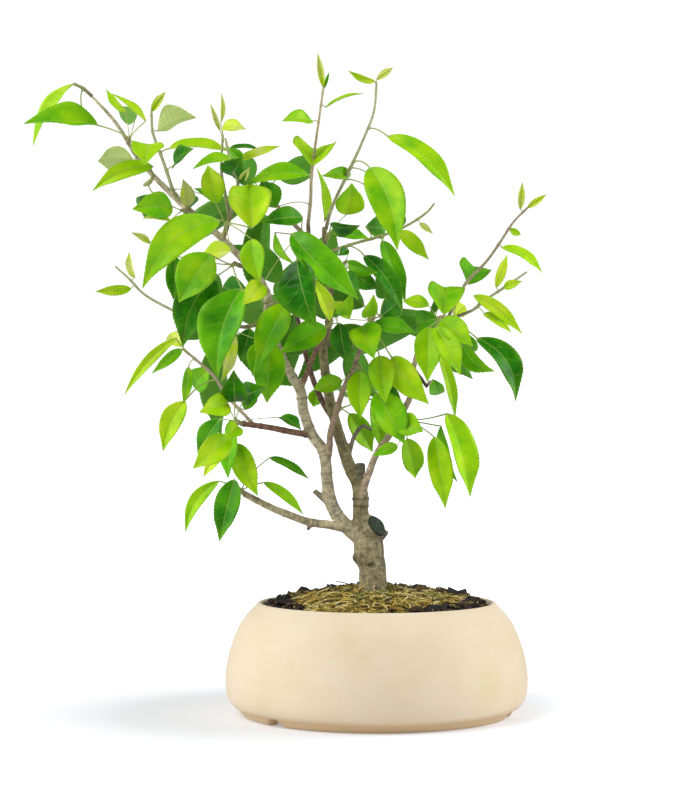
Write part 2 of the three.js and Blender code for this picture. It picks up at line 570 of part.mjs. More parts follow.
// Sprays: each is the green stems and the leaves that grow from one place on the wood
const SPRAYS = {
  left_tip_spray: {
    stems: [[[-207, 449, -8, 1.5], [-214, 455, -9, 1.4], [-220, 458, -10, 1.1]]],
    leaves: [
      leaf([-221, 458, -10], [-250, 413, -20], 17, { roll: 45, fold: 30, arch: 0.06, bow: -0.04, tone: 0.85 }),
      leaf([-214, 437, 2], [-228, 434, 38], 11, { roll: 10, tone: 0.3 }),
    ],
  },
  left_high_spray: {
    stems: [[[-181, 415, -11, 1.7], [-180, 417, -18, 1.5], [-180, 419, -22, 1.2]]],
    leaves: [
      leaf([-203, 428, -22], [-257, 429, -34], 29, { roll: 45, fold: 32, arch: 0.07, tone: 0.5 }),
      leaf([-182.5, 438, -22], [-197, 454.5, -24], 10, { roll: -50, arch: 0.04, tone: 0.8 }),
      leaf([-168, 431, -24], [-193, 451, -30], 12, { roll: 62, arch: 0.03, tone: 0.85 }),
      leaf([-176, 431.5, -4], [-189.5, 442, 12], 13, { roll: 170, fold: 10, tone: 0.4 }),
    ],
  },
  left_knuckle_spray: {
    stems: [
      [[-166, 397, -12, 1.8], [-168, 400, -20, 1.6], [-169, 402, -26, 1.3]],
      [[-168, 400, -20, 1.5], [-163, 392, -19, 1.1], [-165, 387, -18, 2], [-169, 384.5, -18, 1.5]],
    ],
    leaves: [
      leaf([-178, 404, -14], [-203, 402, -22], 20, { roll: 170, fold: 15, tone: 0.9 }),
      leaf([-163, 398, -26], [-207, 380, -36], 15, { roll: -10, fold: 34, bow: -0.12, tone: 0.75 }),
      leaf([-165, 414, -34], [-169, 399, -66], 25, { fold: 20, tone: 0.7 }),
      leaf([-160, 376, -10], [-172, 366, 24], 18, { roll: -10, tone: 0.15 }),
    ],
  },
  left_rising_shoot: {
    stems: [[
      [-143, 372, -16, 1.6], [-148, 380, -15, 1.5], [-152, 392, -14, 1.4], [-158, 409, -13, 1.3],
      [-163, 423, -12, 1.2], [-164, 439, -12, 1],
    ]],
    leaves: [
      leaf([-163.5, 438, -12], [-153.5, 452.5, -12], 10, { fold: 52, arch: 0.1, tone: 0.95 }),
      leaf([-159, 424, -11], [-131, 433.5, -2], 27, { roll: -125, fold: 30, arch: 0.12, tone: 0.9 }),
      leaf([-151, 411, -14], [-105, 408, -6], 16, { roll: -50, fold: 30, arch: 0.08, tone: 0.75 }),
      leaf([-147, 399, -20], [-133, 411, -50], 17, { roll: -35, tone: 0.15 }),
      leaf([-142, 372, 4], [-136, 368, 40], 20, { roll: 10, tone: 0.2 }),
      leaf([-137.5, 369, -20], [-141, 389, -26], 13, { roll: 20, fold: 30, tone: 0.95 }),
      leaf([-114, 372, -10], [-133, 382, -4], 9, { roll: 30, tone: 0.4 }),
    ],
  },
  left_low_spray: {
    stems: [[[-136, 366, -18, 1.8], [-139, 366, -25, 1.6], [-142, 366, -30, 1.3]]],
    leaves: [
      leaf([-149, 369, -32], [-178, 367, -50], 22, { roll: 6, tone: 0.5 }),
      leaf([-150, 358, -24], [-171, 360, -30], 9, { roll: 35, fold: 45, tone: 0.9 }),
      leaf([-140, 360, 4], [-152, 342, 38], 22, { roll: -12, tone: 0.15 }),
      leaf([-165, 342, -20], [-179, 350, -24], 7, { roll: 20, fold: 40, tone: 0.95 }),
    ],
  },
  twin_rising_shoots: {
    stems: [
      [[-107, 360, -23, 1.7], [-104, 374, -23, 1.4], [-101, 387, -22, 1.3], [-106, 400, -21, 1.2],
        [-110, 418, -20, 1]],
      [[-107, 360, -23, 1.7], [-110, 377, -20, 1.3], [-113, 394, -19, 1.2], [-112, 421, -18, 1]],
    ],
    leaves: [
      leaf([-105, 391, -14], [-98, 405, -36], 24, { roll: 0, tone: 0.15 }),
      leaf([-114, 424, -19], [-121, 444, -22], 6, { fold: 50, tone: 0.95 }),
      leaf([-113.5, 430, -18], [-113.5, 452, -14], 6, { fold: 50, roll: 30, tone: 0.95 }),
      leaf([-112, 427, -22], [-95, 425, -34], 12, { roll: -20, arch: 0.1, tone: 0.9 }),
      leaf([-107, 411, -18], [-84, 409.5, -2], 7, { roll: -50, tone: 0.2 }),
      leaf([-102, 402, -16], [-70, 413, -8], 8, { roll: -20, arch: 0.04, tone: 0.85 }),
      leaf([-105, 404, -32], [-134, 396, -46], 13, { roll: 45, tone: 0.55 }),
      leaf([-99, 388.5, -25], [-92.5, 397.5, -33], 8, { roll: 20, fold: 40, tone: 0.95 }),
      leaf([-98, 401, -26], [-108, 412, -30], 10, { roll: 10, tone: 0.45 }),
    ],
  },
  left_heart_spray: {
    stems: [[[-109.5, 353, -22, 1.8], [-110, 355, -31, 1.6], [-109, 357, -37, 1.3]]],
    leaves: [
      leaf([-91, 353, -44], [-93, 385, -22], 42, { fold: 42, roll: 4, tone: 0.85 }),
      leaf([-115, 359, -50], [-170.5, 309, -66], 27, { roll: -5, bow: -0.15, tone: 0.8 }),
      leaf([-91, 345, -42], [-85, 313, -48], 20, { roll: 15, tone: 0.75 }),
      leaf([-117, 371, -25], [-123, 399, -20], 19, { roll: 10, tone: 0.85 }),
      leaf([-106, 337, -31], [-127, 333, -16], 16, { roll: 20, tone: 0.9 }),
    ],
  },
  left_front_spray: {
    stems: [[[-103, 327, -28, 1.8], [-104, 327, -34, 1.6], [-105, 326, -38, 1.4]]],
    leaves: [
      leaf([-121, 334, -42], [-144, 299, -46], 31, { roll: 8, tone: 0.55 }),
      leaf([-118, 317, -34], [-141, 267, -34], 31, { roll: -5, bow: -0.11, tone: 0.2 }),
      leaf([-147, 333, -30], [-148, 301, -24], 15, { roll: -10, tone: 0.3 }),
      leaf([-98, 309, -50], [-116, 244, -60], 38, { roll: 22, bow: -0.06, fold: 30, tone: 0.35 }),
    ],
  },
  left_reaching_shoot: {
    stems: [[
      [-95, 281, -22, 1.6], [-115, 283, -16, 1.3], [-135, 287, -12, 1.2], [-150, 294, -10, 1.2],
      [-170, 305.5, -8, 1.1], [-180, 316, -8, 1], [-190, 325, -8, 0.8],
    ]],
    leaves: [
      leaf([-176, 317, -8], [-180, 336, -10], 9, { roll: -30, fold: 40, tone: 0.9 }),
      leaf([-179, 309, -9], [-205, 307, -18], 9, { roll: -12, fold: 25, arch: 0.03, tone: 0.8 }),
      leaf([-106, 279, -30], [-113, 241, -40], 13, { roll: -40, tone: 0.9 }),
      leaf([-92, 280, -10], [-99, 256, -2], 19, { roll: -10, tone: 0.25 }),
      leaf([-84, 271, -26], [-90, 245, -34], 14, { roll: 28, tone: 0.5 }),
    ],
  },
  left_hanging_shoot: {
    stems: [[
      [-90, 210.5, -17.5, 1.7], [-98, 219, -8, 1.4], [-109, 231, -4, 1.3], [-119, 246, -3, 1.3], [-130, 256, -4, 1.2],
      [-141, 265, -4, 1],
    ]],
    leaves: [
      leaf([-146, 273, -6], [-184, 231, -16], 9, { roll: 5, bow: -0.05, tone: 0.75 }),
      leaf([-142, 265, -8], [-164, 247, -24], 9, { roll: 0, tone: 0.5 }),
      leaf([-141, 267, 0], [-151, 276, 20], 13, { roll: 10, tone: 0.85 }),
      leaf([-137, 252, -12], [-141, 225, -18], 9, { roll: -20, tone: 0.55 }),
      leaf([-140, 227, -16], [-155.5, 190.5, -28], 18, { roll: 5, bow: -0.06, tone: 0.75 }),
      leaf([-122, 250, 4], [-133, 237, 26], 20, { roll: 10, tone: 0.45 }),
      leaf([-96, 221, 2], [-93, 234, 24], 15, { roll: 15, tone: 0.4 }),
    ],
  },
  lower_left_spray: {
    stems: [[[-98, 210.5, -20, 2.1], [-101, 212, -26, 1.9], [-103, 213, -31, 1.5]]],
    leaves: [
      leaf([-103, 227, -38], [-104, 250, -64], 21, { roll: 0, tone: 0.15 }),
      leaf([-95, 231, -34], [-80, 237, -58], 19, { roll: -10, arch: 0.12, tone: 0.2 }),
      leaf([-108, 225, -44], [-129, 219, -66], 19, { roll: 8, tone: 0.75 }),
      leaf([-114, 214, -28], [-130, 188, -16], 17, { roll: 25, tone: 0.25 }),
      leaf([-107, 201, -40], [-134, 178, -54], 21, { roll: 0, tone: 0.85 }),
      leaf([-103, 203, -30], [-108, 171, -32], 17, { roll: 34, tone: 0.5 }),
      leaf([-107, 199, -28], [-126, 172, -22], 13, { roll: 20, tone: 0.8 }),
      leaf([-101, 209, -38], [-112, 199, -60], 15, { roll: 0, tone: 0.6 }),
      leaf([-102, 196, -26], [-86.5, 158, -36], 19, { roll: -5, bow: -0.03, tone: 0.85 }),
      leaf([-70, 215.5, -24], [-55, 206, -38], 13, { roll: -45, tone: 0.2 }),
    ],
  },
  low_branch_spray: {
    stems: [[[-95, 159, -15, 2.3], [-99, 162, -19, 2], [-101, 164, -22, 1.6]]],
    leaves: [
      leaf([-115, 169, -16], [-139, 131, -14], 12, { roll: 10, bow: -0.13, arch: 0.03, tone: 0.65 }),
      leaf([-103.5, 170, -38], [-114.5, 125, -46], 20, { roll: 6, tone: 0.25 }),
      leaf([-78, 186, -8], [-49, 170, -6], 9, { roll: -40, tone: 0.35 }),
      leaf([-82, 168, -16], [-53, 144, -26], 9, { roll: -15, bow: 0.06, arch: 0.03, tone: 0.55 }),
      leaf([-104, 160, -8], [-111, 142, 24], 15, { roll: 0, tone: 0.3 }),
    ],
  },
  ring_spray: {
    stems: [[[-79, 296, -15, 2], [-76, 298, -23, 1.7], [-74, 299, -27, 1.4]]],
    leaves: [
      leaf([-66, 298, -36], [-87, 252, -48], 25, { roll: 14, tone: 0.7 }),
      leaf([-78, 270, -18], [-80, 226, -18], 26, { roll: -8, tone: 0.5 }),
      leaf([-94, 304, -14], [-112, 310, 22], 22, { roll: 0, tone: 0.15 }),
    ],
  },
  twig_end_spray: {
    stems: [[[-36, 278, -15, 1.9], [-34, 282, -20, 1.7], [-33, 284, -24, 1.3]]],
    leaves: [
      leaf([-37, 281, -26], [-70, 262, -34], 22, { roll: 14, tone: 0.45 }),
      leaf([-27, 284, -20], [-21, 255, -16], 18, { roll: 18, tone: 0.15 }),
      leaf([-34, 286, -28], [-48, 318, -34], 14, { roll: 36, tone: 0.85 }),
      leaf([-28, 290, -22], [-18, 306, -36], 13, { roll: 30, tone: 0.6 }),
    ],
  },
  front_centre_spray: {
    stems: [[[-49, 346, -8, 1.8], [-53, 347, -20, 1.6], [-57, 348, -32, 1.3]]],
    leaves: [
      leaf([-62, 349, -42], [-13, 301, -52], 30, { roll: -30, bow: -0.09, tone: 0.35 }),
      leaf([-58, 330, -50], [-44, 281, -62], 40, { roll: 30, fold: 30, tone: 0.12 }),
      leaf([-83, 312, -58], [-98, 297, -76], 17, { roll: 0, tone: 0.75 }),
      leaf([-74, 350, -30], [-60, 327, -44], 13, { roll: 60, tone: 0.6 }),
      leaf([-54, 361, -24], [-85, 357, -40], 17, { roll: 20, tone: 0.2 }),
    ],
  },
  high_left_shoot: {
    stems: [[
      [-50, 355, -12, 1.6], [-48, 375, -10, 1.4], [-47.5, 390, -8, 1.3], [-45, 411, -6, 1.2],
      [-43, 425, -5, 1.1], [-38.5, 457, -4, 0.9],
    ]],
    leaves: [
      leaf([-39, 456, -4], [-43, 481, -6], 8, { fold: 50, tone: 0.9 }),
      leaf([-37, 441, -4], [-9, 451, 4], 5, { roll: -50, fold: 45, tone: 0.85 }),
      leaf([-47, 431, -8], [-69, 431, -28], 15, { roll: 35, tone: 0.55 }),
      leaf([-47, 398, -14], [-45, 410, 16], 42, { fold: 40, tone: 0.65 }),
      leaf([-50, 392, -10], [-95, 384, -14], 17, { roll: 30, arch: 0.16, tone: 0.55 }),
      leaf([-74, 368, 0], [-84, 388, 6], 20, { roll: 10, tone: 0.25 }),
      leaf([-38, 455, -4], [-34.5, 467, -4], 4, { fold: 50, tone: 0.5 }),
    ],
  },
  high_right_shoot: {
    stems: [[
      [-37, 352, 12, 1.6], [-33, 367, 12, 1.5], [-20, 395, 10, 1.4], [-10, 417, 8, 1.2],
      [-2, 438, 8, 1.1], [0, 459, 8, 0.9],
    ]],
    leaves: [
      leaf([-1, 460, 8], [-21, 468, 2], 8, { roll: -35, fold: 40, tone: 0.8 }),
      leaf([0, 461, 8], [12, 470, 12], 8, { fold: 45, tone: 0.9 }),
      leaf([8, 420, 2], [57, 376, -8], 20, { roll: -32, bow: 0.06, tone: 0.8 }),
      leaf([-5, 397, -12], [15, 337, -34], 29, { roll: 8, bow: 0.09, tone: 0.55 }),
      leaf([-19, 393, 16], [-40, 391, 0], 11, { roll: 5, tone: 0.6 }),
      leaf([-38, 358, 18], [-44, 397, 22], 12, { roll: 54, tone: 0.85 }),
      leaf([0, 388, 18], [12, 374, 46], 18, { roll: 12, tone: 0.25 }),
      leaf([6, 372, 26], [16, 350, 52], 20, { roll: -8, tone: 0.2 }),
    ],
  },
  crown_spray: {
    stems: [[[-38, 343, 12, 1.8], [-36, 346, 4, 1.6], [-35, 349, 0, 1.3]]],
    leaves: [
      leaf([-22, 363, -4], [-18, 386, -14], 23, { roll: 15, fold: 20, arch: 0.1, tone: 0.65 }),
      leaf([-33, 355, -6], [-12, 355, -28], 14, { roll: 44, tone: 0.15 }),
      leaf([-31, 349, 0], [-5, 345, -10], 12, { roll: -30, tone: 0.4 }),
    ],
  },
  upper_right_shoot: {
    stems: [[
      [-37.5, 335, 12, 1.6], [-16, 342, 26, 1.3], [5, 348, 28, 1.2], [22, 355, 26, 1.1],
      [37, 365, 25, 1], [42, 371, 25, 0.8],
    ]],
    leaves: [
      leaf([17, 351, 22], [38, 330, 14], 13, { roll: -6, tone: 0.7 }),
      leaf([31.5, 356.5, 26], [41, 349, 22], 7, { fold: 45, tone: 0.9 }),
      leaf([-9, 333, 10], [19, 292, -2], 18, { roll: -20, bow: 0.05, tone: 0.2 }),
      leaf([4, 344, 20], [21, 299, 16], 17, { roll: -24, bow: -0.03, tone: 0.4 }),
      leaf([-8, 354, 32], [6, 352, 62], 20, { roll: 0, tone: 0.3 }),
    ],
  },
  leader_spray: {
    stems: [[[-27, 323, 7, 1.7], [-24, 327, 4, 1.5], [-22, 329, 2, 1.2]]],
    leaves: [
      leaf([-21, 328, -2], [1, 321, -16], 14, { roll: 36, tone: 0.45 }),
      leaf([-19, 322, 8], [1, 309, 18], 15, { roll: 16, tone: 0.25 }),
      leaf([-22, 321, -4], [-12, 302, -18], 15, { roll: 12, tone: 0.2 }),
      leaf([-21, 338, 6], [-28, 333, 0], 8, { tone: 0.2 }),
    ],
  },
  middle_spray: {
    stems: [[[-2, 291, -2, 1.7], [-5, 288, -10, 1.6], [-5, 286, -16, 1.3]]],
    leaves: [
      leaf([-10, 282, -26], [-2, 258, -52], 26, { roll: 0, tone: 0.7 }),
      leaf([2, 260, -26], [6.5, 226, -40], 21, { roll: 0, tone: 0.8 }),
      leaf([11, 259, -24], [38, 225, -36], 23, { roll: 16, tone: 0.85 }),
      leaf([0, 282, -22], [28, 277, -42], 16, { roll: -26, tone: 0.35 }),
      leaf([-9, 288, -20], [-2, 305, -32], 13, { roll: 34, tone: 0.65 }),
      leaf([3, 289, 4], [16, 300, 30], 19, { roll: 10, tone: 0.15 }),
      leaf([-20, 287, -16], [-32, 300, -12], 14, { roll: 30, tone: 0.8 }),
    ],
  },
  fork_twig_spray: {
    stems: [[[-17, 250, -5, 1.8], [-14, 252, -12, 1.6], [-12, 252, -16, 1.3]]],
    leaves: [
      leaf([-12, 249, -20], [-12, 214, -30], 20, { roll: 8, tone: 0.7 }),
      leaf([0, 233, -30], [20, 196, -38], 27, { roll: -10, tone: 0.65 }),
      leaf([-25, 242, -4], [-46, 236, 2], 15, { roll: 10, tone: 0.5 }),
      leaf([17, 213, -33], [34, 205, -42], 19, { roll: 0, tone: 0.6 }),
    ],
  },
  fork_back_spray: {
    stems: [[[-31, 217, 4, 1.8], [-28, 220, 10, 1.6], [-26, 222, 14, 1.3]]],
    leaves: [
      leaf([-20, 218, 14], [-3, 190, 20], 18, { roll: -15, tone: 0.6 }),
      leaf([-2, 229, 18], [3, 192, 26], 14, { roll: -12, tone: 0.6 }),
      leaf([-27, 240, 16], [-28, 236, 46], 20, { roll: 0, tone: 0.4 }),
      leaf([-43, 236, 28], [-46, 223, 32], 13, { roll: 0, tone: 0.5 }),
    ],
  },
  right_spur_spray: {
    stems: [[[13, 234, -11, 1.5], [12, 237, -13, 1.4], [11, 239, -15, 1.2]]],
    leaves: [
      leaf([10, 238, -18], [16, 211, -26], 16, { roll: 24, tone: 0.2 }),
    ],
  },
  right_low_spray: {
    stems: [[[18, 217, -9, 2], [22, 214, -15, 1.7], [25, 213, -18, 1.4]]],
    leaves: [
      leaf([15, 195, -16], [-3, 187, -26], 10, { roll: 10, tone: 0.6 }),
      leaf([22, 200, -6], [28, 171, 2], 19, { roll: -15, tone: 0.5 }),
      leaf([42, 201, -24], [50, 149, -32], 20, { roll: -6, tone: 0.78 }),
      leaf([47, 209, -14], [59, 168, -10], 13, { roll: 46, tone: 0.4 }),
      leaf([51, 218, -22], [68, 157, -30], 26, { roll: -30, fold: 32, tone: 0.75 }),
    ],
  },
  right_twig_spray: {
    stems: [[[37, 239, -10, 1.4], [38, 240, -6, 1.3], [39, 241, -3, 1.1]]],
    leaves: [
      leaf([41, 243, 0], [45, 232, 22], 13, { roll: 5, tone: 0.4 }),
    ],
  },
  right_spray: {
    stems: [[[44, 286, -15, 2], [45, 286, -22, 1.8], [46, 287, -28, 1.4]]],
    leaves: [
      leaf([49, 290, -34], [50, 310, -8], 36, { fold: 42, tone: 0.7 }),
      leaf([44, 288, -24], [29, 283, -2], 20, { roll: 0, tone: 0.35 }),
      leaf([38, 296.5, -22], [19, 300, -12], 12, { roll: 25, tone: 0.65 }),
      leaf([38, 281, -34], [37, 241, -46], 22, { roll: 4, tone: 0.65 }),
      leaf([43, 281, -40], [61, 246, -56], 20, { roll: -14, tone: 0.8 }),
      leaf([47, 286, -34], [70, 267, -50], 20, { roll: -10, tone: 0.75 }),
      leaf([45, 263, -14], [57, 214, -14], 11, { roll: -30, tone: 0.8 }),
    ],
  },
  right_end_spray: {
    stems: [[[55, 288, -15, 1.7], [59, 284, -19, 1.5], [62, 282, -21, 1.2]]],
    leaves: [
      leaf([63, 268, -22], [86, 249, -34], 15, { roll: 26, bow: -0.12, tone: 0.5 }),
      leaf([73, 273, -18], [101, 227, -26], 22, { roll: -24, bow: 0.16, tone: 0.2 }),
      leaf([66, 276, -8], [69, 262, 14], 13, { roll: 5, tone: 0.4 }),
    ],
  },
  right_high_shoot: {
    stems: [[
      [52, 288, -15, 1.5], [58, 300, -6, 1.4], [65, 313, 0, 1.3], [80, 329, 0, 1.2],
      [90, 343, 0, 1.1], [100, 358, 0, 1], [111, 369, 0, 0.8],
    ]],
    leaves: [
      leaf([104.5, 367, 0], [106, 387, -2], 8, { fold: 48, tone: 0.9 }),
      leaf([110, 368, 0], [124, 378, -4], 7, { fold: 45, tone: 0.9 }),
      leaf([91, 339, -2], [121, 320, 4], 12, { roll: -40, bow: 0.06, tone: 0.8 }),
      leaf([67, 312, 4], [71, 325, 30], 30, { fold: 36, tone: 0.4 }),
      leaf([97, 353, 0], [105, 348, 4], 6, { roll: 20, tone: 0.7 }),
      leaf([56, 289, 4], [64, 297, 16], 14, { tone: 0.9 }),
    ],
  },
  right_mid_shoot: {
    stems: [[
      [59, 289, -15, 1.4], [70, 293.5, -12, 1.3], [78, 300, -11, 1.2], [93, 310, -11, 1.1],
      [109, 321, -11, 0.8],
    ]],
    leaves: [
      leaf([87, 310, -11], [95, 334, -8], 8, { roll: 0, tone: 0.85 }),
      leaf([93, 310, -12], [106, 314.5, -22], 8, { roll: -10, tone: 0.8 }),
      leaf([71, 304, -16], [106, 276, -24], 12, { roll: -10, bow: 0.04, tone: 0.75 }),
      leaf([78, 291, -18], [98, 277, -28], 10, { roll: -30, tone: 0.8 }),
    ],
  },
};

// Sprays at the back, which the front hides: leaves stand round the end of a twig, each turned
// from the one before by 2/5 of a round, as pear leaves are, and lean out and down
const BACK_SPRAYS = {
  back_right_spray: { end: [8, 284, 62], heading: [-0.6, 0.6, 0.7], leaves: 4, turn: 80 },
  back_right_inner_spray: { end: [-20, 273, 28], heading: [-0.6, 0, 0.7], leaves: 3, turn: 180 },
  back_left_spray: { end: [-118, 282, 46], heading: [0.2, 0, 0.7], leaves: 5, turn: 180 },
  back_upright_spray: { end: [-60, 300, 56], heading: [0, 0.4, 0.7], leaves: 5, turn: 340 },
  back_far_spray: { end: [50, 286, 46], heading: [-0.8, 0.2, 0.7], leaves: 3, turn: 40 },
  back_top_spray: { end: [-80, 378, 62], heading: [-0.2, 0, 0.7], leaves: 4, turn: 120 },
};
const BACK_LEAF = { length: 50, width: 28, stalk: 16, spread: 62, droop: 0.3 };

function backSpray({ end, heading, leaves, turn }) {
  const axis = new THREE.Vector3(heading[0], heading[1], heading[2]).normalize();
  const [across, up, depth] = end;
  const along = (distance) => [
    across + axis.x * distance, up + axis.y * distance, depth + axis.z * distance,
  ];
  const around = new THREE.Vector3(0, 1, 0).cross(axis).normalize();
  const stems = [[[...along(-1.5), 1.7], [...along(5), 1.5], [...along(10), 1.1]]];
  const list = [];
  for (let i = 0; i < leaves; i += 1) {
    const outward = around.clone().applyAxisAngle(axis, (turn + 144 * i + 10 * (i % 2)) * degrees);
    const lean = (BACK_LEAF.spread + 9 * ((i * 2) % 5) - 14) * degrees;
    const way = axis.clone().multiplyScalar(Math.cos(lean)).addScaledVector(outward, Math.sin(lean));
    const [bx, by, bz] = along(4 + 1.2 * i);
    const start = [bx + way.x * BACK_LEAF.stalk, by + way.y * BACK_LEAF.stalk, bz + way.z * BACK_LEAF.stalk];
    const length = BACK_LEAF.length * (0.8 + 0.1 * ((i * 3) % 5));
    const tip = [
      start[0] + way.x * length,
      start[1] + way.y * length - BACK_LEAF.droop * length,
      start[2] + way.z * length,
    ];
    list.push(leaf(start, tip, BACK_LEAF.width, { roll: 150, tone: 0.05 + 0.07 * i, coarse: true }));
  }
  return { stems, leaves: list };
}

function sprayBody({ stems, leaves }) {
  const curves = stems.map((stations) => (
    new THREE.CatmullRomCurve3(stations.map(seen), false, 'centripetal')));
  const stemBodies = stems.map((stations) => limb(stations, 3, Math.max(2, stations.length - 1)));
  return joined([...stemBodies, ...leaves.map((shape) => leafBody(shape, curves))]);
}

// Assembly

const tree = new THREE.Group();

function add(name, body, colour, roughness, metalness = 0) {
  const material = new THREE.MeshStandardMaterial({ color: colour, roughness, metalness });
  const mesh = new THREE.Mesh(toGeometry(body), material);
  mesh.name = name;
  tree.add(mesh);
}

const woodBody = wood();
const woodCutter = wood(CLEAR);

add('pot', pot(), CLAY, 0.85);
add('drain_mesh', drainMesh(), NYLON, 0.6);
add('soil', largest(joined([soilFill(), ...soilChips()]).subtract(woodCutter)), SOIL_COLOUR, 0.95);

const strawBody = joined([strawMat(), ...strawStrands()]);
add('straw_dressing', largest(strawBody.subtract(soilFill(GAP)).subtract(woodCutter)), STRAW_COLOUR, 0.9);

add('wood', woodBody, BARK_COLOUR, 0.85);
add('cut_paste', cutPaste(), PASTE_COLOUR, 0.7);

const allSprays = { ...SPRAYS };
for (const [name, rule] of Object.entries(BACK_SPRAYS)) allSprays[name] = backSpray(rule);
for (const [name, spray] of Object.entries(allSprays)) {
  const tone = spray.leaves.reduce((sum, one) => sum + one.tone, 0) / spray.leaves.length;
  const colour = new THREE.Color(DARK_LEAF).lerp(new THREE.Color(PALE_LEAF), tone);
  add(name, largest(sprayBody(spray).subtract(woodCutter)), colour, 0.45);
}

// The origin goes under the middle of the whole object
const box = new THREE.Box3().setFromObject(tree);
const middle = box.getCenter(new THREE.Vector3());
tree.position.set(-middle.x, -middle.y, -box.min.z);
tree.updateMatrixWorld(true);

export default tree;
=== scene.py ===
import math

import bpy
import numpy as np
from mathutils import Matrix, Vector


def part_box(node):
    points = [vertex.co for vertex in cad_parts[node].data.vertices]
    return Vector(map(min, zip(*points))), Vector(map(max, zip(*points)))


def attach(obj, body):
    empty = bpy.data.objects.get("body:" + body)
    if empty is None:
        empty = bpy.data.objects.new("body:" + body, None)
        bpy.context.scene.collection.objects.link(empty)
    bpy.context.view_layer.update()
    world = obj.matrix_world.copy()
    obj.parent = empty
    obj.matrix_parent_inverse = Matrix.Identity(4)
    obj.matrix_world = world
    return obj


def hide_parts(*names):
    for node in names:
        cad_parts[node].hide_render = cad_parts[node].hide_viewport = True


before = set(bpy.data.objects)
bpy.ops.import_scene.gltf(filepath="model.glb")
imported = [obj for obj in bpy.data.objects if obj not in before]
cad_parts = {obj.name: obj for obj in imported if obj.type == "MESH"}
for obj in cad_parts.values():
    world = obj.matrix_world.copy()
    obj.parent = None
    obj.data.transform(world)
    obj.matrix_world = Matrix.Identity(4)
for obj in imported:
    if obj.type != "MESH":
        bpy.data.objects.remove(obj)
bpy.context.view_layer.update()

# %% [markdown]
# A pear tree in a clay bowl
#
# The solid model that was just loaded has every piece of the tree in its place, with flat facets. This
# lesson grows the fine surfaces round it: bark, leaves with their ribs and toothed edges, soil, straw and
# thrown clay. Shapes are worked out in millimetres, measured from the pot's axis, and one function turns
# them into Blender's metres.

# %% Units and the place of the pot
MM = 0.001
pot_low, pot_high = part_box("pot")
POT_AXIS = np.array([(pot_low.x + pot_high.x) / 2, (pot_low.y + pot_high.y) / 2, 0.0]) / MM
print("pot axis, mm:", POT_AXIS.round(2))

# %% [markdown]
# The eye
#
# The tree was drawn from one picture, so each place on it is given as it is seen: how far across and up on
# the upright plane through the pot's axis, and how far behind that plane. The camera stands where that
# picture was taken from, level, 1.57 m in front of the pot.

# %% The camera and the way places are given
EYE = np.array([-19.4, -1570.0, 228.0])
LENS_MM = 97.05

camera_data = bpy.data.cameras.new("camera")
camera_data.lens = LENS_MM
camera_data.sensor_width = 36.0
camera_data.clip_end = 60.0
camera = bpy.data.objects.new("camera", camera_data)
camera.location = (EYE + POT_AXIS) * MM
camera.rotation_euler = (math.pi / 2, 0.0, 0.0)
bpy.context.scene.collection.objects.link(camera)
bpy.context.scene.camera = camera


def seen(place):
    """Moves (across, up, depth) from the plane of the pot's axis along its line of sight to its depth."""
    across, up, depth = np.moveaxis(np.asarray(place, float), -1, 0)
    scale = 1 - depth / EYE[1]
    return np.stack([EYE[0] + (across - EYE[0]) * scale, depth, EYE[2] + (up - EYE[2]) * scale], axis=-1)


print("a place seen at (100, 100), 50 mm behind the pot's axis, lies at:", seen((100, 100, 50)).round(1))

# %% [markdown]
# Light
#
# The tree stands on a white studio floor. A bright, even dome fills the shadows, a broad soft sun from the
# upper left front models the leaves, and two large soft boxes at the sides give the clay its pale flanks and
# the leaves their sheen. The dome looks whiter to the camera than it lights, as a lit paper backdrop does.

# %% Floor, dome and lamps
def hex_colour(text):
    """Linear colour of an sRGB hex value: each channel is (c + 0.055) / 1.055 to the power 2.4."""
    channels = [int(text[i:i + 2], 16) / 255 for i in (1, 3, 5)]
    return [c / 12.92 if c <= 0.04045 else ((c + 0.055) / 1.055) ** 2.4 for c in channels] + [1.0]


def add_node(tree, kind, inputs=None, stops=(), **settings):
    """Adds a node, sets its settings, and fills its inputs from values, outputs, or nodes' first outputs.
    Stops are the places and colours of a ramp, which has two stops from the start."""
    node = tree.nodes.new(kind)
    for name, value in settings.items():
        setattr(node, name, value)
    for spot, (at, shade) in enumerate(stops):
        element = node.color_ramp.elements[spot] if spot < 2 else node.color_ramp.elements.new(at)
        element.position = at
        element.color = hex_colour(shade)
    for name, value in (inputs or {}).items():
        socket = node.inputs[name]
        if isinstance(value, bpy.types.Node):
            value = value.outputs[0]
        if isinstance(value, bpy.types.NodeSocket):
            tree.links.new(value, socket)
        else:
            socket.default_value = value
    return node


bpy.context.scene.view_settings.view_transform = "Standard"

world = bpy.data.worlds.new("white studio")
world.use_nodes = True
bpy.context.scene.world = world
sky = world.node_tree
sky.nodes.clear()
ray = add_node(sky, "ShaderNodeLightPath")
strength = add_node(sky, "ShaderNodeMapRange", {
    "Value": ray.outputs["Is Camera Ray"], "To Min": 0.24, "To Max": 1.1})
dome = add_node(sky, "ShaderNodeBackground", {"Color": hex_colour("#FFFFFF"), "Strength": strength})
add_node(sky, "ShaderNodeOutputWorld", {"Surface": dome})


def add_lamp(name, kind, energy, place, aim, **settings):
    """A lamp at a place in metres, turned so that it shines at another place."""
    data = bpy.data.lights.new(name, kind)
    data.energy = energy
    for key, value in settings.items():
        setattr(data, key, value)
    lamp = bpy.data.objects.new(name, data)
    lamp.location = place
    way = np.array(aim, float) - np.array(place, float)
    level = math.hypot(way[0], way[1])
    lamp.rotation_euler = (math.atan2(level, -way[2]), 0.0, math.atan2(-way[0], way[1]))
    bpy.context.scene.collection.objects.link(lamp)
    print(f"{name}: {energy}, {np.linalg.norm(way):.2f} m from the crown")


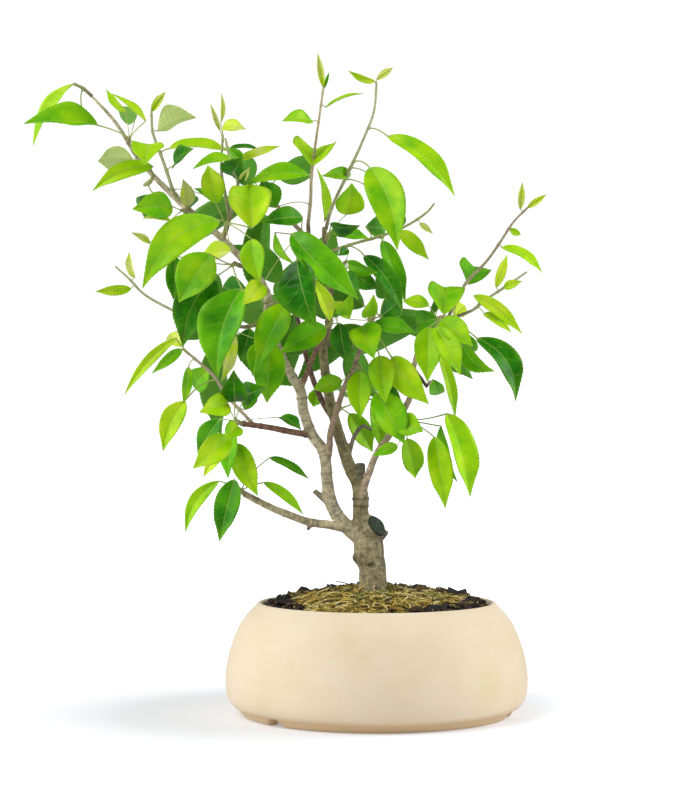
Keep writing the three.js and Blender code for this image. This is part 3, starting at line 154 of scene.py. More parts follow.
CROWN = (0.0, 0.0, 0.3)
add_lamp("soft sun", "SUN", 1.15, (-1.3, -1.5, 2.6), CROWN, angle=math.radians(25))
add_lamp("left box", "AREA", 15.0, (-1.5, -0.3, 0.9), CROWN, shape="RECTANGLE", size=1.0, size_y=1.4)
add_lamp("right box", "AREA", 19.5, (1.6, -0.15, 0.8), CROWN, shape="RECTANGLE", size=1.0, size_y=1.4)

# The floor lies a tenth of a millimetre under the pot, so that the two faces don't fight for the same place
FLOOR_HALF = 30.0
FLOOR_LEVEL = -0.0001
FLOOR_WAYS = ((-1, -1), (1, -1), (1, 1), (-1, 1))
floor_mesh = bpy.data.meshes.new("floor")
floor_corners = [(x * FLOOR_HALF, y * FLOOR_HALF, FLOOR_LEVEL) for x, y in FLOOR_WAYS]
floor_mesh.from_pydata(floor_corners, [], [(0, 1, 2, 3)])
floor = bpy.data.objects.new("floor", floor_mesh)
bpy.context.scene.collection.objects.link(floor)


def new_material(name):
    """A new material, its node tree, and the place on the piece that patterns read, in metres."""
    material = bpy.data.materials.new(name)
    material.use_nodes = True
    tree = material.node_tree
    tree.nodes.clear()
    return material, tree, add_node(tree, "ShaderNodeTexCoord").outputs["Object"]


paper, tree, place = new_material("white backdrop paper")
grain = add_node(tree, "ShaderNodeTexNoise", {"Scale": 3.0, "Detail": 2.0})
white = add_node(tree, "ShaderNodeMapRange", {"Value": grain, "To Min": 0.68, "To Max": 0.7})
away = add_node(tree, "ShaderNodeVectorMath", {0: place}, operation="LENGTH").outputs["Value"]
far = add_node(tree, "ShaderNodeMapRange", {
    "Value": away, "From Min": 0.12, "From Max": 0.4, "To Min": 0.3, "To Max": 1.1})
ray = add_node(tree, "ShaderNodeLightPath")
glow = add_node(tree, "ShaderNodeMapRange", {
    "Value": ray.outputs["Is Camera Ray"], "To Min": 0.16, "To Max": far})
lit = add_node(tree, "ShaderNodeBsdfPrincipled", {
    "Base Color": white, "Roughness": 0.9,
    "Emission Color": hex_colour("#F2F7FF"), "Emission Strength": glow})
add_node(tree, "ShaderNodeOutputMaterial", {"Surface": lit})
floor_mesh.materials.append(paper)

# %% [markdown]
# Shapes as grids of numbers
#
# Nearly every piece here is a skin over rings of points: the wall of the pot, a branch, even a leaf, whose
# rings are flattened round its rib. So a few tools serve them all. One gathers points, faces and marks of
# many forms into one mesh, one closes rings into a skin, and one shows the mesh as a piece of the tree.

# %% Gathering forms into a piece
class Pile:
    """Points, faces and marks of many forms. A mark is one number, or one colour, for each point."""

    def __init__(self):
        self.points = []
        self.faces = []
        self.slots = []
        self.marks = {}
        self.count = 0

    def add(self, points, faces, slot=0, **marks):
        """Adds one form: its points, its blocks of faces with as many corners each, and its marks."""
        points = np.asarray(points, float).reshape(-1, 3)
        for block in faces:
            self.faces.append(np.asarray(block) + self.count)
            self.slots.append(np.full(len(block), slot))
        self.points.append(points)
        for name, value in marks.items():
            width = (4,) if name == "tint" else ()
            self.marks.setdefault(name, []).append(np.broadcast_to(value, (len(points),) + width))
        self.count += len(points)

    def mesh(self, name):
        """One Blender mesh. Corners of all faces lie one after another, and each face's first corner is
        noted."""
        points = (np.concatenate(self.points) + POT_AXIS) * MM
        sizes = np.concatenate([np.full(len(block), block.shape[1]) for block in self.faces])
        corners = np.concatenate([block.ravel() for block in self.faces])
        mesh = bpy.data.meshes.new(name)
        mesh.vertices.add(len(points))
        mesh.vertices.foreach_set("co", points.ravel().astype(np.float32))
        mesh.loops.add(len(corners))
        mesh.loops.foreach_set("vertex_index", corners.astype(np.int32))
        mesh.polygons.add(len(sizes))
        mesh.polygons.foreach_set("loop_start", (np.cumsum(sizes) - sizes).astype(np.int32))
        mesh.polygons.foreach_set("material_index", np.concatenate(self.slots).astype(np.int32))
        mesh.update(calc_edges=True)
        mesh.shade_smooth()
        for mark, blocks in self.marks.items():
            kind, field = ("FLOAT_COLOR", "color") if mark == "tint" else ("FLOAT", "value")
            layer = mesh.attributes.new(mark, kind, "POINT")
            layer.data.foreach_set(field, np.concatenate(blocks).ravel().astype(np.float32))
        return mesh


def add_piece(mesh, materials, slot, *nodes):
    """Shows a mesh as a piece that rides on the tree's one body and stands for these nodes of the model."""
    for material in materials:
        mesh.materials.append(material)
    piece = bpy.data.objects.new(mesh.name, mesh)
    bpy.context.scene.collection.objects.link(piece)
    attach(piece, "root")
    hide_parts(*nodes)
    mesh.calc_loop_triangles()
    print(f"{piece.name}: {len(mesh.loop_triangles)} triangles")


def unit(vectors):
    """Vectors divided by their lengths."""
    return vectors / np.linalg.norm(vectors, axis=-1, keepdims=True)


def skin_faces(rings, sides):
    """Faces over rings of points that run anticlockwise seen from the far end, and a fan at either end.

    Point numbers run ring by ring, then come the near pole and the far pole.
    """
    ring, j = np.meshgrid(np.arange(rings - 1), np.arange(sides), indexing="ij")
    here, there = ring * sides + j, ring * sides + (j + 1) % sides
    walls = np.stack([here, there, there + sides, here + sides], axis=-1).reshape(-1, 4)
    j = np.arange(sides)
    last = (rings - 1) * sides
    near, far = rings * sides, rings * sides + 1
    near_fan = np.stack([np.full(sides, near), (j + 1) % sides, j], axis=-1)
    far_fan = np.stack([np.full(sides, far), last + j, last + (j + 1) % sides], axis=-1)
    return [walls, near_fan, far_fan]


def closed(rings, poles=None):
    """Points and faces of a closed skin over rings. The poles are the middles of the end rings, or given."""
    if poles is None:
        poles = [rings[0].mean(0), rings[-1].mean(0)]
    return np.vstack([rings.reshape(-1, 3), poles]), skin_faces(len(rings), rings.shape[1])


print("faces of a skin over 3 rings of 4 points:", sum(len(block) for block in skin_faces(3, 4)))

# %% [markdown]
# Lines and noise
#
# A limb, a shoot or a straw is known at a few places only. A Catmull-Rom curve runs smoothly through them,
# points are laid on it at even spacing, and rings of points round it make a tube. Bark and soil are rough,
# so they also need a noise, one that is the same in every run.

# %% A smooth line, rings round it, and noise
SPAN_STEPS = 10


def curve_through(places):
    """Centripetal Catmull-Rom curve: each span is a cubic whose end slopes come from its neighbours, with
    knots spaced by the square root of the distance. Also gives how many spans from the start each point
    lies."""
    places = np.asarray(places, float)
    ends = 2 * places[[0, -1]] - places[[1, -2]]
    p = np.vstack([ends[:1], places, ends[1:]])
    knots = np.sqrt(np.linalg.norm(np.diff(p, axis=0), axis=1))[:, None]
    p0, p1, p2, p3 = p[:-3], p[1:-2], p[2:-1], p[3:]
    d0, d1, d2 = knots[:-2], knots[1:-1], knots[2:]
    slope1 = ((p1 - p0) / d0 - (p2 - p0) / (d0 + d1) + (p2 - p1) / d1) * d1
    slope2 = ((p2 - p1) / d1 - (p3 - p1) / (d1 + d2) + (p3 - p2) / d2) * d1
    t = (np.arange(SPAN_STEPS) / SPAN_STEPS)[None, :, None]
    p1, p2, slope1, slope2 = (a[:, None] for a in (p1, p2, slope1, slope2))
    line = (p1 + slope1 * t + (3 * (p2 - p1) - 2 * slope1 - slope2) * t ** 2
            + (2 * (p1 - p2) + slope1 + slope2) * t ** 3)
    spans = (np.arange(len(places) - 1)[:, None] + t[..., 0]).ravel()
    return np.vstack([line.reshape(-1, 3), places[-1:]]), np.append(spans, len(places) - 1)


def even_line(stations, spacing):
    """Points at even spacing along the curve through stations (across, up, depth, radius), with the radius
    there and the way from the start."""
    stations = np.array(stations, float)
    line, spans = curve_through(seen(stations[:, :3]))
    way = np.concatenate([[0], np.cumsum(np.linalg.norm(np.diff(line, axis=0), axis=1))])
    count = max(3, int(round(way[-1] / spacing)) + 1)
    at = np.linspace(0, way[-1], count)
    points = np.stack([np.interp(at, way, line[:, k]) for k in range(3)], axis=-1)
    radii = np.interp(np.interp(at, way, spans), np.arange(len(stations)), stations[:, 3])
    return points, radii, at


def frames_along(points):
    """Directions along, aside and outward at each point of a line. The side turns as little as it can."""
    along = unit(np.gradient(points, axis=0))
    aside = np.cross(along[0], (0.0, 1.0, 0.2))
    sides = []
    for way in along:
        aside = aside - way * aside.dot(way)
        aside = aside / np.linalg.norm(aside)
        sides.append(aside)
    sides = np.array(sides)
    return along, sides, np.cross(along, sides)


def tube_rings(points, radii, sides):
    """Rings round a line: centre + radius x (cos a x side + sin a x outward)."""
    along, aside, outward = frames_along(points)
    turn = 2 * np.pi * np.arange(sides) / sides
    spokes = np.cos(turn)[None, :, None] * aside[:, None] + np.sin(turn)[None, :, None] * outward[:, None]
    return points[:, None] + np.asarray(radii)[:, None, None] * spokes


def lattice_noise(points, cell, seed):
    """Smooth noise from -1 to 1. Each corner of a cubic lattice has a number, made from the sine of its
    whole coordinates, and a point blends the eight corners round it by the smoothstep of its place. The
    large numbers only scatter the sine's values."""
    scaled = np.asarray(points, float) / cell
    corner = np.floor(scaled)
    inside = scaled - corner
    ease = inside ** 2 * (3 - 2 * inside)
    total = np.zeros(scaled.shape[:-1])
    for step in np.ndindex(2, 2, 2):
        number = np.sin((corner + step) @ (127.1, 311.7, 74.7) + 37.7 * seed) * 43758.5453
        weight = np.prod(np.where(step, ease, 1 - ease), axis=-1)
        total += weight * (2 * (number - np.floor(number)) - 1)
    return total


print("length of a quarter round of radius 10 drawn through three places, of a true 15.71:",
      round(float(even_line([(10, 0, 0, 1), (7.071, 7.071, 0, 1), (0, 10, 0, 1)], 1.0)[2][-1]), 2))

# %% [markdown]
# The bowl
#
# The bowl is thrown from a cream-buff clay and fired without glaze. A thrown pot is a profile turned about
# its axis, so its skin is a lathe: the profile's radius and height, carried round. The hand shows in a slight
# wave of the wall, in faint rings from the fingers, and in three notches cut through the foot ring.

# %% Bowl
BOWL_OUTSIDE = [
    (89.0, 0.9), (89.8, 0.0), (95.6, 0.0), (96.9, 0.5), (98.6, 2.6), (100.1, 4.7), (100.5, 5.5), (100.7, 6.1),
    (102.6, 6.3), (104.0, 6.9), (106.0, 8.9), (108.0, 12.0), (109.4, 17.0), (109.9, 23.0), (110.0, 28.0),
    (109.2, 36.0), (107.3, 45.0), (104.2, 55.0), (99.8, 65.0), (94.6, 72.4), (89.4, 77.6), (87.4, 79.8)]
BOWL_INSIDE = [
    (86.3, 80.9), (85.0, 81.2), (83.9, 80.8), (83.4, 79.6), (86.0, 74.0), (94.4, 58.0), (101.4, 40.0),
    (101.7, 24.0), (92.0, 12.0), (60.0, 12.0), (13.6, 12.0), (13.0, 11.4), (13.0, 6.6), (13.6, 6.0),
    (60.0, 6.0), (87.6, 6.0), (88.4, 5.4)]
BOWL_SIDES = 240
FOOT_FROM = 88.2
FOOT_MIDDLE = 93.0
NOTCH_TURNS = [223.0, 343.0, 103.0]
NOTCH_HALF = 7.5
NOTCH_HIGH = 6.2

# The skin has even sides all round, and 40 more at each notch, within 6.5 degrees of its middle
profile = np.array(BOWL_OUTSIDE + BOWL_INSIDE)
even_turns = np.linspace(0, 2 * np.pi, BOWL_SIDES, endpoint=False)
fine_turns = [np.radians(turn + np.linspace(-6.5, 6.5, 40)) for turn in NOTCH_TURNS]
turns = np.unique(np.round(np.concatenate([even_turns, *fine_turns]) % (2 * np.pi), 4))


def bowl_points():
    """Lathe: x = r cos a, y = r sin a. The radius waves by 0.15 percent round the wall, and by 0.03 percent
    up it. Where a notch passes, the foot ring's lower points rise to an arch: its height times the square
    root of 1 - (distance / half width) squared."""
    radius, height = profile[:, 0][None, :], profile[:, 1][None, :]
    a = turns[:, None]
    wave = 1 - 0.0015 * (1 + np.sin(3 * a + height / 30)) * (height > 8)
    wave = wave - 0.0003 * (1 + np.sin(height / 1.9 + 2 * a)) * (height > 8)
    arch = np.zeros_like(a)
    for turn in np.radians(NOTCH_TURNS):
        off = (a - turn + np.pi) % (2 * np.pi) - np.pi
        share = np.clip(1 - (off * FOOT_MIDDLE / NOTCH_HALF) ** 2, 0, 1)
        arch = np.maximum(arch, NOTCH_HIGH * np.sqrt(share))
    height = np.where((radius > FOOT_FROM) & (height < arch), arch, height)
    return np.stack([radius * wave * np.cos(a), radius * wave * np.sin(a), height + 0 * a], axis=-1)


bowl = Pile()
grid = bowl_points()
rings, sides = grid.shape[:2]
ring, j = np.meshgrid(np.arange(rings), np.arange(sides), indexing="ij")
here, along_ring = ring * sides + j, ring * sides + (j + 1) % sides
next_here, next_along = (ring + 1) % rings * sides + j, (ring + 1) % rings * sides + (j + 1) % sides
bowl.add(grid, [np.stack([here, along_ring, next_along, next_here], axis=-1).reshape(-1, 4)])

def grains(size):
    """Scale of a pattern whose grains are so many mm wide: one over that size in metres, to two figures."""
    return float(f"{1 / (size * MM):.2g}")


# Finger rings come every 2 mm or so up the wall, and each runs about 80 mm round it
clay, tree, place = new_material("unglazed buff clay, thrown")
parts = add_node(tree, "ShaderNodeSeparateXYZ", {"Vector": place})
blotch = add_node(tree, "ShaderNodeTexNoise", {
    "Vector": place, "Scale": grains(45), "Detail": 5.0, "Roughness": 0.6})
flat = add_node(tree, "ShaderNodeMapping", {"Vector": place, "Scale": (4.0, 4.0, 160.0)})
throwing = add_node(tree, "ShaderNodeTexNoise", {
    "Vector": flat, "Scale": 3.0, "Detail": 3.0, "Roughness": 0.55})
grit = add_node(tree, "ShaderNodeTexNoise", {"Vector": place, "Scale": grains(0.71), "Detail": 2.0})
ramp = add_node(tree, "ShaderNodeValToRGB", {"Fac": blotch}, stops=(
    (0.3, "#EAD6B3"), (0.5, "#EFDDBF"), (0.72, "#F3E3C9")))
rings_tone = add_node(tree, "ShaderNodeMapRange", {
    "Value": throwing, "From Min": 0.35, "From Max": 0.65, "To Max": 0.14})
ringed = add_node(tree, "ShaderNodeMixRGB", {
    "Fac": rings_tone, "Color1": ramp, "Color2": hex_colour("#E4CBA2")})
foot_share = add_node(tree, "ShaderNodeMapRange", {
    "Value": parts.outputs["Z"], "From Min": 0.010, "From Max": 0.0055, "To Max": 0.8})
footed = add_node(tree, "ShaderNodeMixRGB", {
    "Fac": foot_share, "Color1": ringed, "Color2": hex_colour("#DDBD90")})
blush_middle = (np.array([76.7, -77.0, 31.0]) + POT_AXIS) * MM
from_blush = add_node(tree, "ShaderNodeVectorMath", {
    0: place, 1: tuple(blush_middle)}, operation="DISTANCE").outputs["Value"]
blush_share = add_node(tree, "ShaderNodeMapRange", {
    "Value": from_blush, "From Min": 0.004, "From Max": 0.022, "To Min": 0.4, "To Max": 0.0})
blushed = add_node(tree, "ShaderNodeMixRGB", {
    "Fac": blush_share, "Color1": footed, "Color2": hex_colour("#E2D796")})
bumps = add_node(tree, "ShaderNodeMath", {0: throwing, 1: grit}, operation="ADD")
bump = add_node(tree, "ShaderNodeBump", {"Height": bumps, "Strength": 0.16, "Distance": 0.0006})
body = add_node(tree, "ShaderNodeBsdfPrincipled", {
    "Base Color": blushed, "Roughness": 0.82, "Normal": bump,
    "Sheen Weight": 0.25, "Sheen Roughness": 0.4})
add_node(tree, "ShaderNodeOutputMaterial", {"Surface": body})

add_piece(bowl.mesh("thrown_bowl"), [clay], "clay", "pot")

# %% [markdown]
# The wood
#
# Trunk and branches grew as one body, so they are drawn as one: each limb is a tube through a few stations,
# all tubes are melted together by a fine voxel remesh, and the bark is raised on the result. Each point of
# the skin finds the limb whose surface is nearest. That gives its place along the limb and round it, which
# the bark needs, and the limb's own colour, because young wood is red-brown and old wood grey.

# %% Limbs: colour, stations (across, up, depth, radius)
LIMBS = {
    "trunk": ("#9B8F6C", [
        (-3, 52, 0, 5), (-3, 62, 0, 11.3), (-3, 78, 0, 12.4), (-3, 92, 0, 10.3), (-3.2, 107, 0, 9.8),
        (-5.4, 115, 0, 11), (-6, 124, 0, 10.9), (-8, 133, 0, 9.6), (-11, 142, 0.5, 6.6)]),
    "sawn_stub": ("#877D62", [(-4.6, 123, -0.5, 7.4), (0.2, 139, -5, 7.2), (2, 148, -8, 6.6)]),
    "burr": ("#6E6649", [(-8, 112, -1, 5), (-14.5, 114, -2, 4), (-17, 113.6, -2.4, 1.6)]),
    "paste_drip": ("#5A5340", [(3, 128, -3, 3), (6.6, 133, -3.4, 2.2)]),
    "leader": ("#857C56", [
        (-11.4, 140, 0, 6.3), (-11.8, 148, 0, 5.7), (-11.6, 156, 0, 5.9), (-13, 167, 0, 5.5),
        (-19, 178, 1, 4.7), (-25, 195, 3, 4.2), (-29.5, 210, 4, 4), (-34, 228, 5, 3.7),
        (-37.6, 250, 6, 3.4), (-38.7, 267, 7, 3.2), (-35, 283, 8, 2.8), (-34, 305, 10, 2.5),
        (-38, 330, 12, 2.2), (-38, 354, 12, 1.8)]),
    "leader_stub": ("#6C6650", [(-12.6, 168, -1, 4.2), (-11.4, 182, -2, 3.3)]),
    "leader_fork": ("#8A7A5C", [
        (-36, 315, 11, 2.2), (-43, 332, 3, 2), (-49, 345, -8, 1.8), (-50, 356, -12, 1.6)]),
    "leader_spur": ("#8A7A5C", [(-34, 305, 10, 2), (-29, 318, 8, 1.9), (-26, 325, 6, 1.6)]),
    "left": ("#C4B898", [
        (-12, 128, 0, 6), (-18, 132.5, -1, 5.6), (-28, 143, -2, 4.9), (-33.5, 154, -3, 4.7),
        (-36, 168, -4, 4.3), (-37, 182, -5, 4.2), (-39.5, 192, -5, 4.1), (-46.5, 202, -6, 3.9),
        (-53, 219, -8, 3.8), (-55.5, 235, -10, 3.7), (-62, 246, -11, 3.4), (-69, 260, -12, 3.3),
        (-79, 285, -14, 3), (-79, 299, -15, 3.3), (-82, 311, -17, 2.7), (-107, 340, -20, 2.5),
        (-135, 365, -18, 2.2), (-143, 372, -16, 2.5), (-173, 403, -12, 1.7), (-190, 430, -9, 1.4),
        (-209, 451, -8, 1.1)]),
    "left_stub": ("#8D8266", [(-35, 153, -3, 2.6), (-45.6, 162, -5, 1.9)]),
    "left_twig": ("#8B6A55", [
        (-55.5, 236, -10, 2.2), (-51.5, 246, -12, 2.1), (-44, 264, -14, 1.9), (-35, 279.5, -15, 1.8)]),
    "left_spur": ("#8E8A55", [(-79, 288, -14, 2), (-88, 283, -19, 1.8), (-96, 281, -22, 1.6)]),
    "mid_spur": ("#8E8A55", [(-112, 346, -20, 2), (-109, 354, -22, 1.9), (-107, 361, -23, 1.7)]),
    "front_spur": ("#8E8A55", [(-95, 325, -18, 1.9), (-100, 326, -24, 1.8), (-104, 328, -29, 1.6)]),
    "fork_twig": ("#A48C74", [
        (-37, 182, -5, 2.6), (-34.8, 189, -7, 2.5), (-33.5, 205, -9, 2.3), (-30, 217, -9, 2.2),
        (-23.6, 237, -7, 2.1), (-16, 252.5, -5, 1.9), (-13.4, 261, -4, 1.9), (-5, 281, -3, 1.8),
        (-1.3, 293, -2, 1.6)]),
    "right": ("#BFA88E", [
        (-11.4, 156, -3, 2.8), (-7.5, 169, -5, 2.6), (0, 189, -7, 2.5), (9, 202, -8, 2.4),
        (20, 221, -9, 2.3), (25, 232, -10, 2.1), (27.5, 254, -12, 1.9), (35, 274, -14, 1.8),
        (44, 287, -15, 1.8), (60, 288, -15, 1.5)]),
    "right_spur": ("#7A6A50", [(19, 220, -9, 1.7), (16, 229, -10, 1.5), (12.5, 236, -11, 1.3)]),
    "right_twig": ("#4E4234", [(26, 252, -12, 1.5), (32, 244, -11, 1.4), (37, 237, -10, 1.2)]),
    "leader_twig": ("#7B7266", [
        (-20, 189, 2, 1.8), (-16, 202, 4, 1.6), (-10, 209, 5, 1.5), (-3, 206, 6, 1.2)]),
    "low_left": ("#C0B28E", [
        (-17, 133.5, -3, 3.6), (-34, 137, -7, 3.2), (-48.5, 139, -9, 3), (-63, 144, -11, 2.8),
        (-77.6, 150, -13, 2.6), (-97, 160, -15, 2.4)]),
    "low_left_nub": ("#6C6048", [(-47, 138, -9, 1.8), (-50.5, 133.5, -10, 1.3)]),
    "mid_left": ("#8D6652", [
        (-48, 202.5, -6.5, 2.6), (-63, 205, -11, 2.3), (-78, 208, -15, 2.2), (-99, 211, -20, 2)]),
    "back_upright": ("#5B4234", [
        (-31, 213, 4, 2.4), (-40, 228, 12, 2.2), (-48, 248, 22, 2), (-56, 280, 40, 1.8),
        (-60, 300, 56, 1.6)]),
    "back_right": ("#6F5B48", [
        (-38, 268, 7, 2.1), (-22, 272, 26, 1.9), (-6, 276, 44, 1.8), (8, 284, 62, 1.6)]),
    "back_left": ("#7C6C54", [
        (-69, 258, -12, 2), (-80, 262, 8, 1.9), (-98, 270, 28, 1.8), (-118, 282, 46, 1.6)]),
    "back_far": ("#7C6C54", [
        (27, 252, -12, 1.7), (30, 264, 8, 1.6), (38, 276, 28, 1.5), (50, 286, 46, 1.4)]),
    "back_top": ("#7C6C54", [
        (-38, 328, 12, 1.9), (-50, 345, 32, 1.8), (-66, 362, 50, 1.6), (-80, 378, 62, 1.5)]),
}

# The plane of the saw cut on the stub, and how far round its middle it reaches
CUT_MIDDLE = seen((-0.5, 137.2, -6))
CUT_FACING = unit(np.array([0.6, -0.5, 0.62]))
CUT_REACH = 10.0

# Rings of old bud scars round a limb: how far along it, and how proud of the bark, in mm
SCAR_RINGS = {
    "trunk": [(14, 0.2), (88, 0.3)],
    "leader": [(11, 0.5), (16, 0.6), (38, 0.3), (88, 0.4), (112, 0.3), (150, 0.4)],
    "left": [
        (24, 0.4), (56, 0.4), (72, 0.4), (92, 0.4), (114, 0.5), (131, 0.4), (184, 0.6), (189, 0.6),
        (240, 0.4)],
    "left_twig": [(8, 0.3), (30, 0.3)], "fork_twig": [(2, 0.5), (40, 0.3), (68, 0.4), (96, 0.3)],
    "right": [(22, 0.3), (60, 0.4), (96, 0.4), (118, 0.4)], "low_left": [(30, 0.4), (52, 0.3), (74, 0.4)],
    "mid_left": [(4, 0.4), (20, 0.3), (38, 0.3), (50, 0.4)], "back_upright": [(20, 0.3), (46, 0.3)],
}
print("limbs:", len(LIMBS), "scar rings:", sum(len(rings) for rings in SCAR_RINGS.values()))

# %% [markdown]
# Melting
#
# Where two tubes cross they meet in a hard crease, and a grown fork has none. A voxel remesh turns all the
# tubes into one skin, and a little smoothing rounds the forks off. The stub is cut flat before that.

# %% Melting the limbs together
LIMB_SIDES = 20
LIMB_STEP = 1.5
VOXEL = 0.7

limb_lines = {}
raw = Pile()
for name, (_, stations) in LIMBS.items():
    line, radii, way = even_line(stations, LIMB_STEP)
    limb_lines[name] = (line, radii, way)
    tube = tube_rings(line, radii, LIMB_SIDES)
    if name == "sawn_stub":
        heading = unit(line[-1] - line[-2])
        past = np.clip((tube - CUT_MIDDLE) @ CUT_FACING, 0, None) / heading.dot(CUT_FACING)
        tube = tube - past[..., None] * heading
    raw.add(*closed(tube))

rough = bpy.data.objects.new("rough_wood", raw.mesh("rough_wood"))
bpy.context.scene.collection.objects.link(rough)
melt = rough.modifiers.new("melt", "REMESH")
melt.mode = "VOXEL"
melt.voxel_size = VOXEL * MM
ease_off = rough.modifiers.new("ease", "SMOOTH")
ease_off.factor = 0.5
ease_off.iterations = 4
melted = bpy.data.meshes.new_from_object(rough.evaluated_get(bpy.context.evaluated_depsgraph_get()))
bpy.data.objects.remove(rough)
skin = np.empty(len(melted.vertices) * 3, np.float32)
melted.vertices.foreach_get("co", skin)
skin = skin.reshape(-1, 3).astype(float) / MM - POT_AXIS
normals = np.empty(len(melted.vertices) * 3, np.float32)
melted.vertices.foreach_get("normal", normals)
normals = normals.reshape(-1, 3).astype(float)
print("melted wood:", len(skin), "points")

# %% [markdown]
# Which limb is this?
#
# The melted skin no longer knows its limbs. Each point looks for the limb whose surface is nearest, among
# samples along all of them. That is done in blocks, because the table of all distances at once would fill
# the memory. Near a fork, the colours of both limbs blend.

# %% Finding each point's limb, and its place along and round it
CHUNK = 4000
BLEND_MM = 0.8

samples = {key: [] for key in ("centre", "along", "aside", "radius", "way", "limb", "colour")}
for number, (name, (colour, _)) in enumerate(LIMBS.items()):
    line, radii, way = limb_lines[name]
    along, aside, _ = frames_along(line)
    numbers = np.full(len(way), number)
    colours = np.tile(hex_colour(colour), (len(way), 1))
    for key, value in zip(samples, (line, along, aside, radii, way, numbers, colours)):
        samples[key].append(value)
samples = {key: np.concatenate(value) for key, value in samples.items()}

nearest = np.empty(len(skin), int)
tints = np.empty((len(skin), 4))
for start in range(0, len(skin), CHUNK):
    block = skin[start:start + CHUNK]
    gap = np.linalg.norm(block[:, None] - samples["centre"][None], axis=-1) - samples["radius"]
    nearest[start:start + CHUNK] = gap.argmin(axis=1)
    share = np.exp(-(gap - gap.min(axis=1, keepdims=True)) / BLEND_MM)
    tints[start:start + CHUNK] = share @ samples["colour"] / share.sum(axis=1, keepdims=True)
local = skin - samples["centre"][nearest]
along, aside = samples["along"][nearest], samples["aside"][nearest]
outward = np.cross(along, aside)
slip = np.sum(local * along, axis=1)
angle = np.arctan2(np.sum(local * outward, axis=1), np.sum(local * aside, axis=1))
girth = samples["radius"][nearest]
way = samples["way"][nearest] + slip
limb = samples["limb"][nearest]
print("samples along all limbs:", len(samples["way"]))

# %% [markdown]
# Raising the bark
#
# Bark is real relief here: each point moves out along its normal. Old wood has long fissures, all wood has
# flakes and rings of bud scars, and a few pits show where twigs died. Scars and crumbling places are darker
# in their own colour. The hollows are darker as painted shade. Each limb is painted lighter on the side that
# faces the sun and darker on the side away from it, as painted light and shade.

# %% Raising the bark
LIMB_NAMES = list(LIMBS)
SCAR_HALF = 0.8

# Pits: middle as seen, then reach, depth and height of the lip in mm. Crumbling places: middle and reach
PITS = [
    ((-3.5, 107.5, -9.6), 3.0, 1.3, 0.6), ((-9.5, 171, -5), 2.0, 0.5, 0.4), ((-24, 184, -3.5), 1.8, 0.5, 0.5),
    ((-45.8, 162, -5), 1.6, 0.9, 0.2), ((-12, 182.3, -2), 2.2, 0.8, 0.2)]
CRUMBLING = [((-15.5, 112, -2), 6), ((6.4, 132.5, -4), 3.6)]


def bark_height():
    """Bark above the smooth skin, in mm: long fissures from noise stretched four times along the limb, fine
    flakes, and scars as narrow bells exp(-(distance / 0.8) squared). The scars are given back by themselves
    too, because they are darker than the bark."""
    bark_place = np.column_stack([girth * np.cos(angle), girth * np.sin(angle), way / 4 + 31 * limb])
    age = np.clip((girth - 1.5) / 8, 0.1, 1)
    fissures = lattice_noise(bark_place, 2.3, 1) * 0.42 + lattice_noise(bark_place, 1.1, 2) * 0.25
    flakes = lattice_noise(skin, 1.3, 3) * 0.14 + lattice_noise(skin, 4.5, 4) * 0.3
    height = age * (fissures + flakes) + 0.1 * lattice_noise(skin, 2.2, 5)
    wobble = 0.6 * lattice_noise(bark_place, 4.0, 6)
    scars = np.zeros(len(skin))
    for name, rings in SCAR_RINGS.items():
        mine = limb == LIMB_NAMES.index(name)
        for at, proud in rings:
            scars += mine * proud * np.exp(-((way - at + wobble) / SCAR_HALF) ** 2)
    return height + scars, scars


def pit(middle, reach, depth, rim):
    """A hollow with a raised lip: the depth falls as a bell round the middle, and the lip is a ring that
    lies one reach off."""
    off = np.linalg.norm(skin - middle, axis=1) / reach
    return -depth * np.exp(-off ** 2 * 1.6) + rim * np.exp(-((off - 1) / 0.35) ** 2)


height, scars = bark_height()
for middle, *form in PITS:
    height = height + pit(seen(middle), *form)
crumble = np.zeros(len(skin))
for middle, reach in CRUMBLING:
    crumble = crumble + np.exp(-(np.linalg.norm(skin - seen(middle), axis=1) / reach) ** 2)
height = height + crumble * (0.9 * lattice_noise(skin, 1.8, 7) + 0.3)
on_cut = ((skin - CUT_MIDDLE) @ CUT_FACING > -0.6) & (np.linalg.norm(skin - CUT_MIDDLE, axis=1) < CUT_REACH)
height = np.where(on_cut, 0.0, height)
barked = skin + normals * height[:, None]

# Painted light and shade: a point whose normal faces the sun gets up to a fifth more colour, and one that
# faces away gets up to two fifths less.
PAINTED_LIGHT_WAY = unit(np.array([-0.8, -0.25, 0.55]))
painted_light_side = normals @ PAINTED_LIGHT_WAY
# Painted shade darkens the hollows of the bark, while crumbling places and scars are darker in their own
# colour.
dark = np.clip(-height / 0.5, 0, 1) + 0.8 * np.clip(crumble, 0, 1) + 0.9 * np.clip(scars / 0.45, 0, 1)
tints[:, :3] *= ((1 - 0.45 * np.clip(dark, 0, 1)) * (1 + np.where(painted_light_side > 0, 0.22, 0.42) * painted_light_side))[:, None]

melted.name = "tree_wood"
melted.vertices.foreach_set("co", ((barked + POT_AXIS) * MM).ravel().astype(np.float32))
# The tint mark carries each limb's colour with its painted light and shade on it.
for mark, kind, field, values in (("tint", "FLOAT_COLOR", "color", tints), ("way", "FLOAT", "value", way)):
    layer = melted.attributes.new(mark, kind, "POINT")
    layer.data.foreach_set(field, values.ravel().astype(np.float32))
melted.update()
melted.shade_smooth()
print("bark relief, mm:", height.min().round(2), "to", height.max().round(2))

# %% [markdown]
# Bark finish
#
# The finish takes the colour that each point has, and adds what is too fine for the mesh: mottling, greyer
# rings along the limb, green algae in broad patches, and small pale pores.

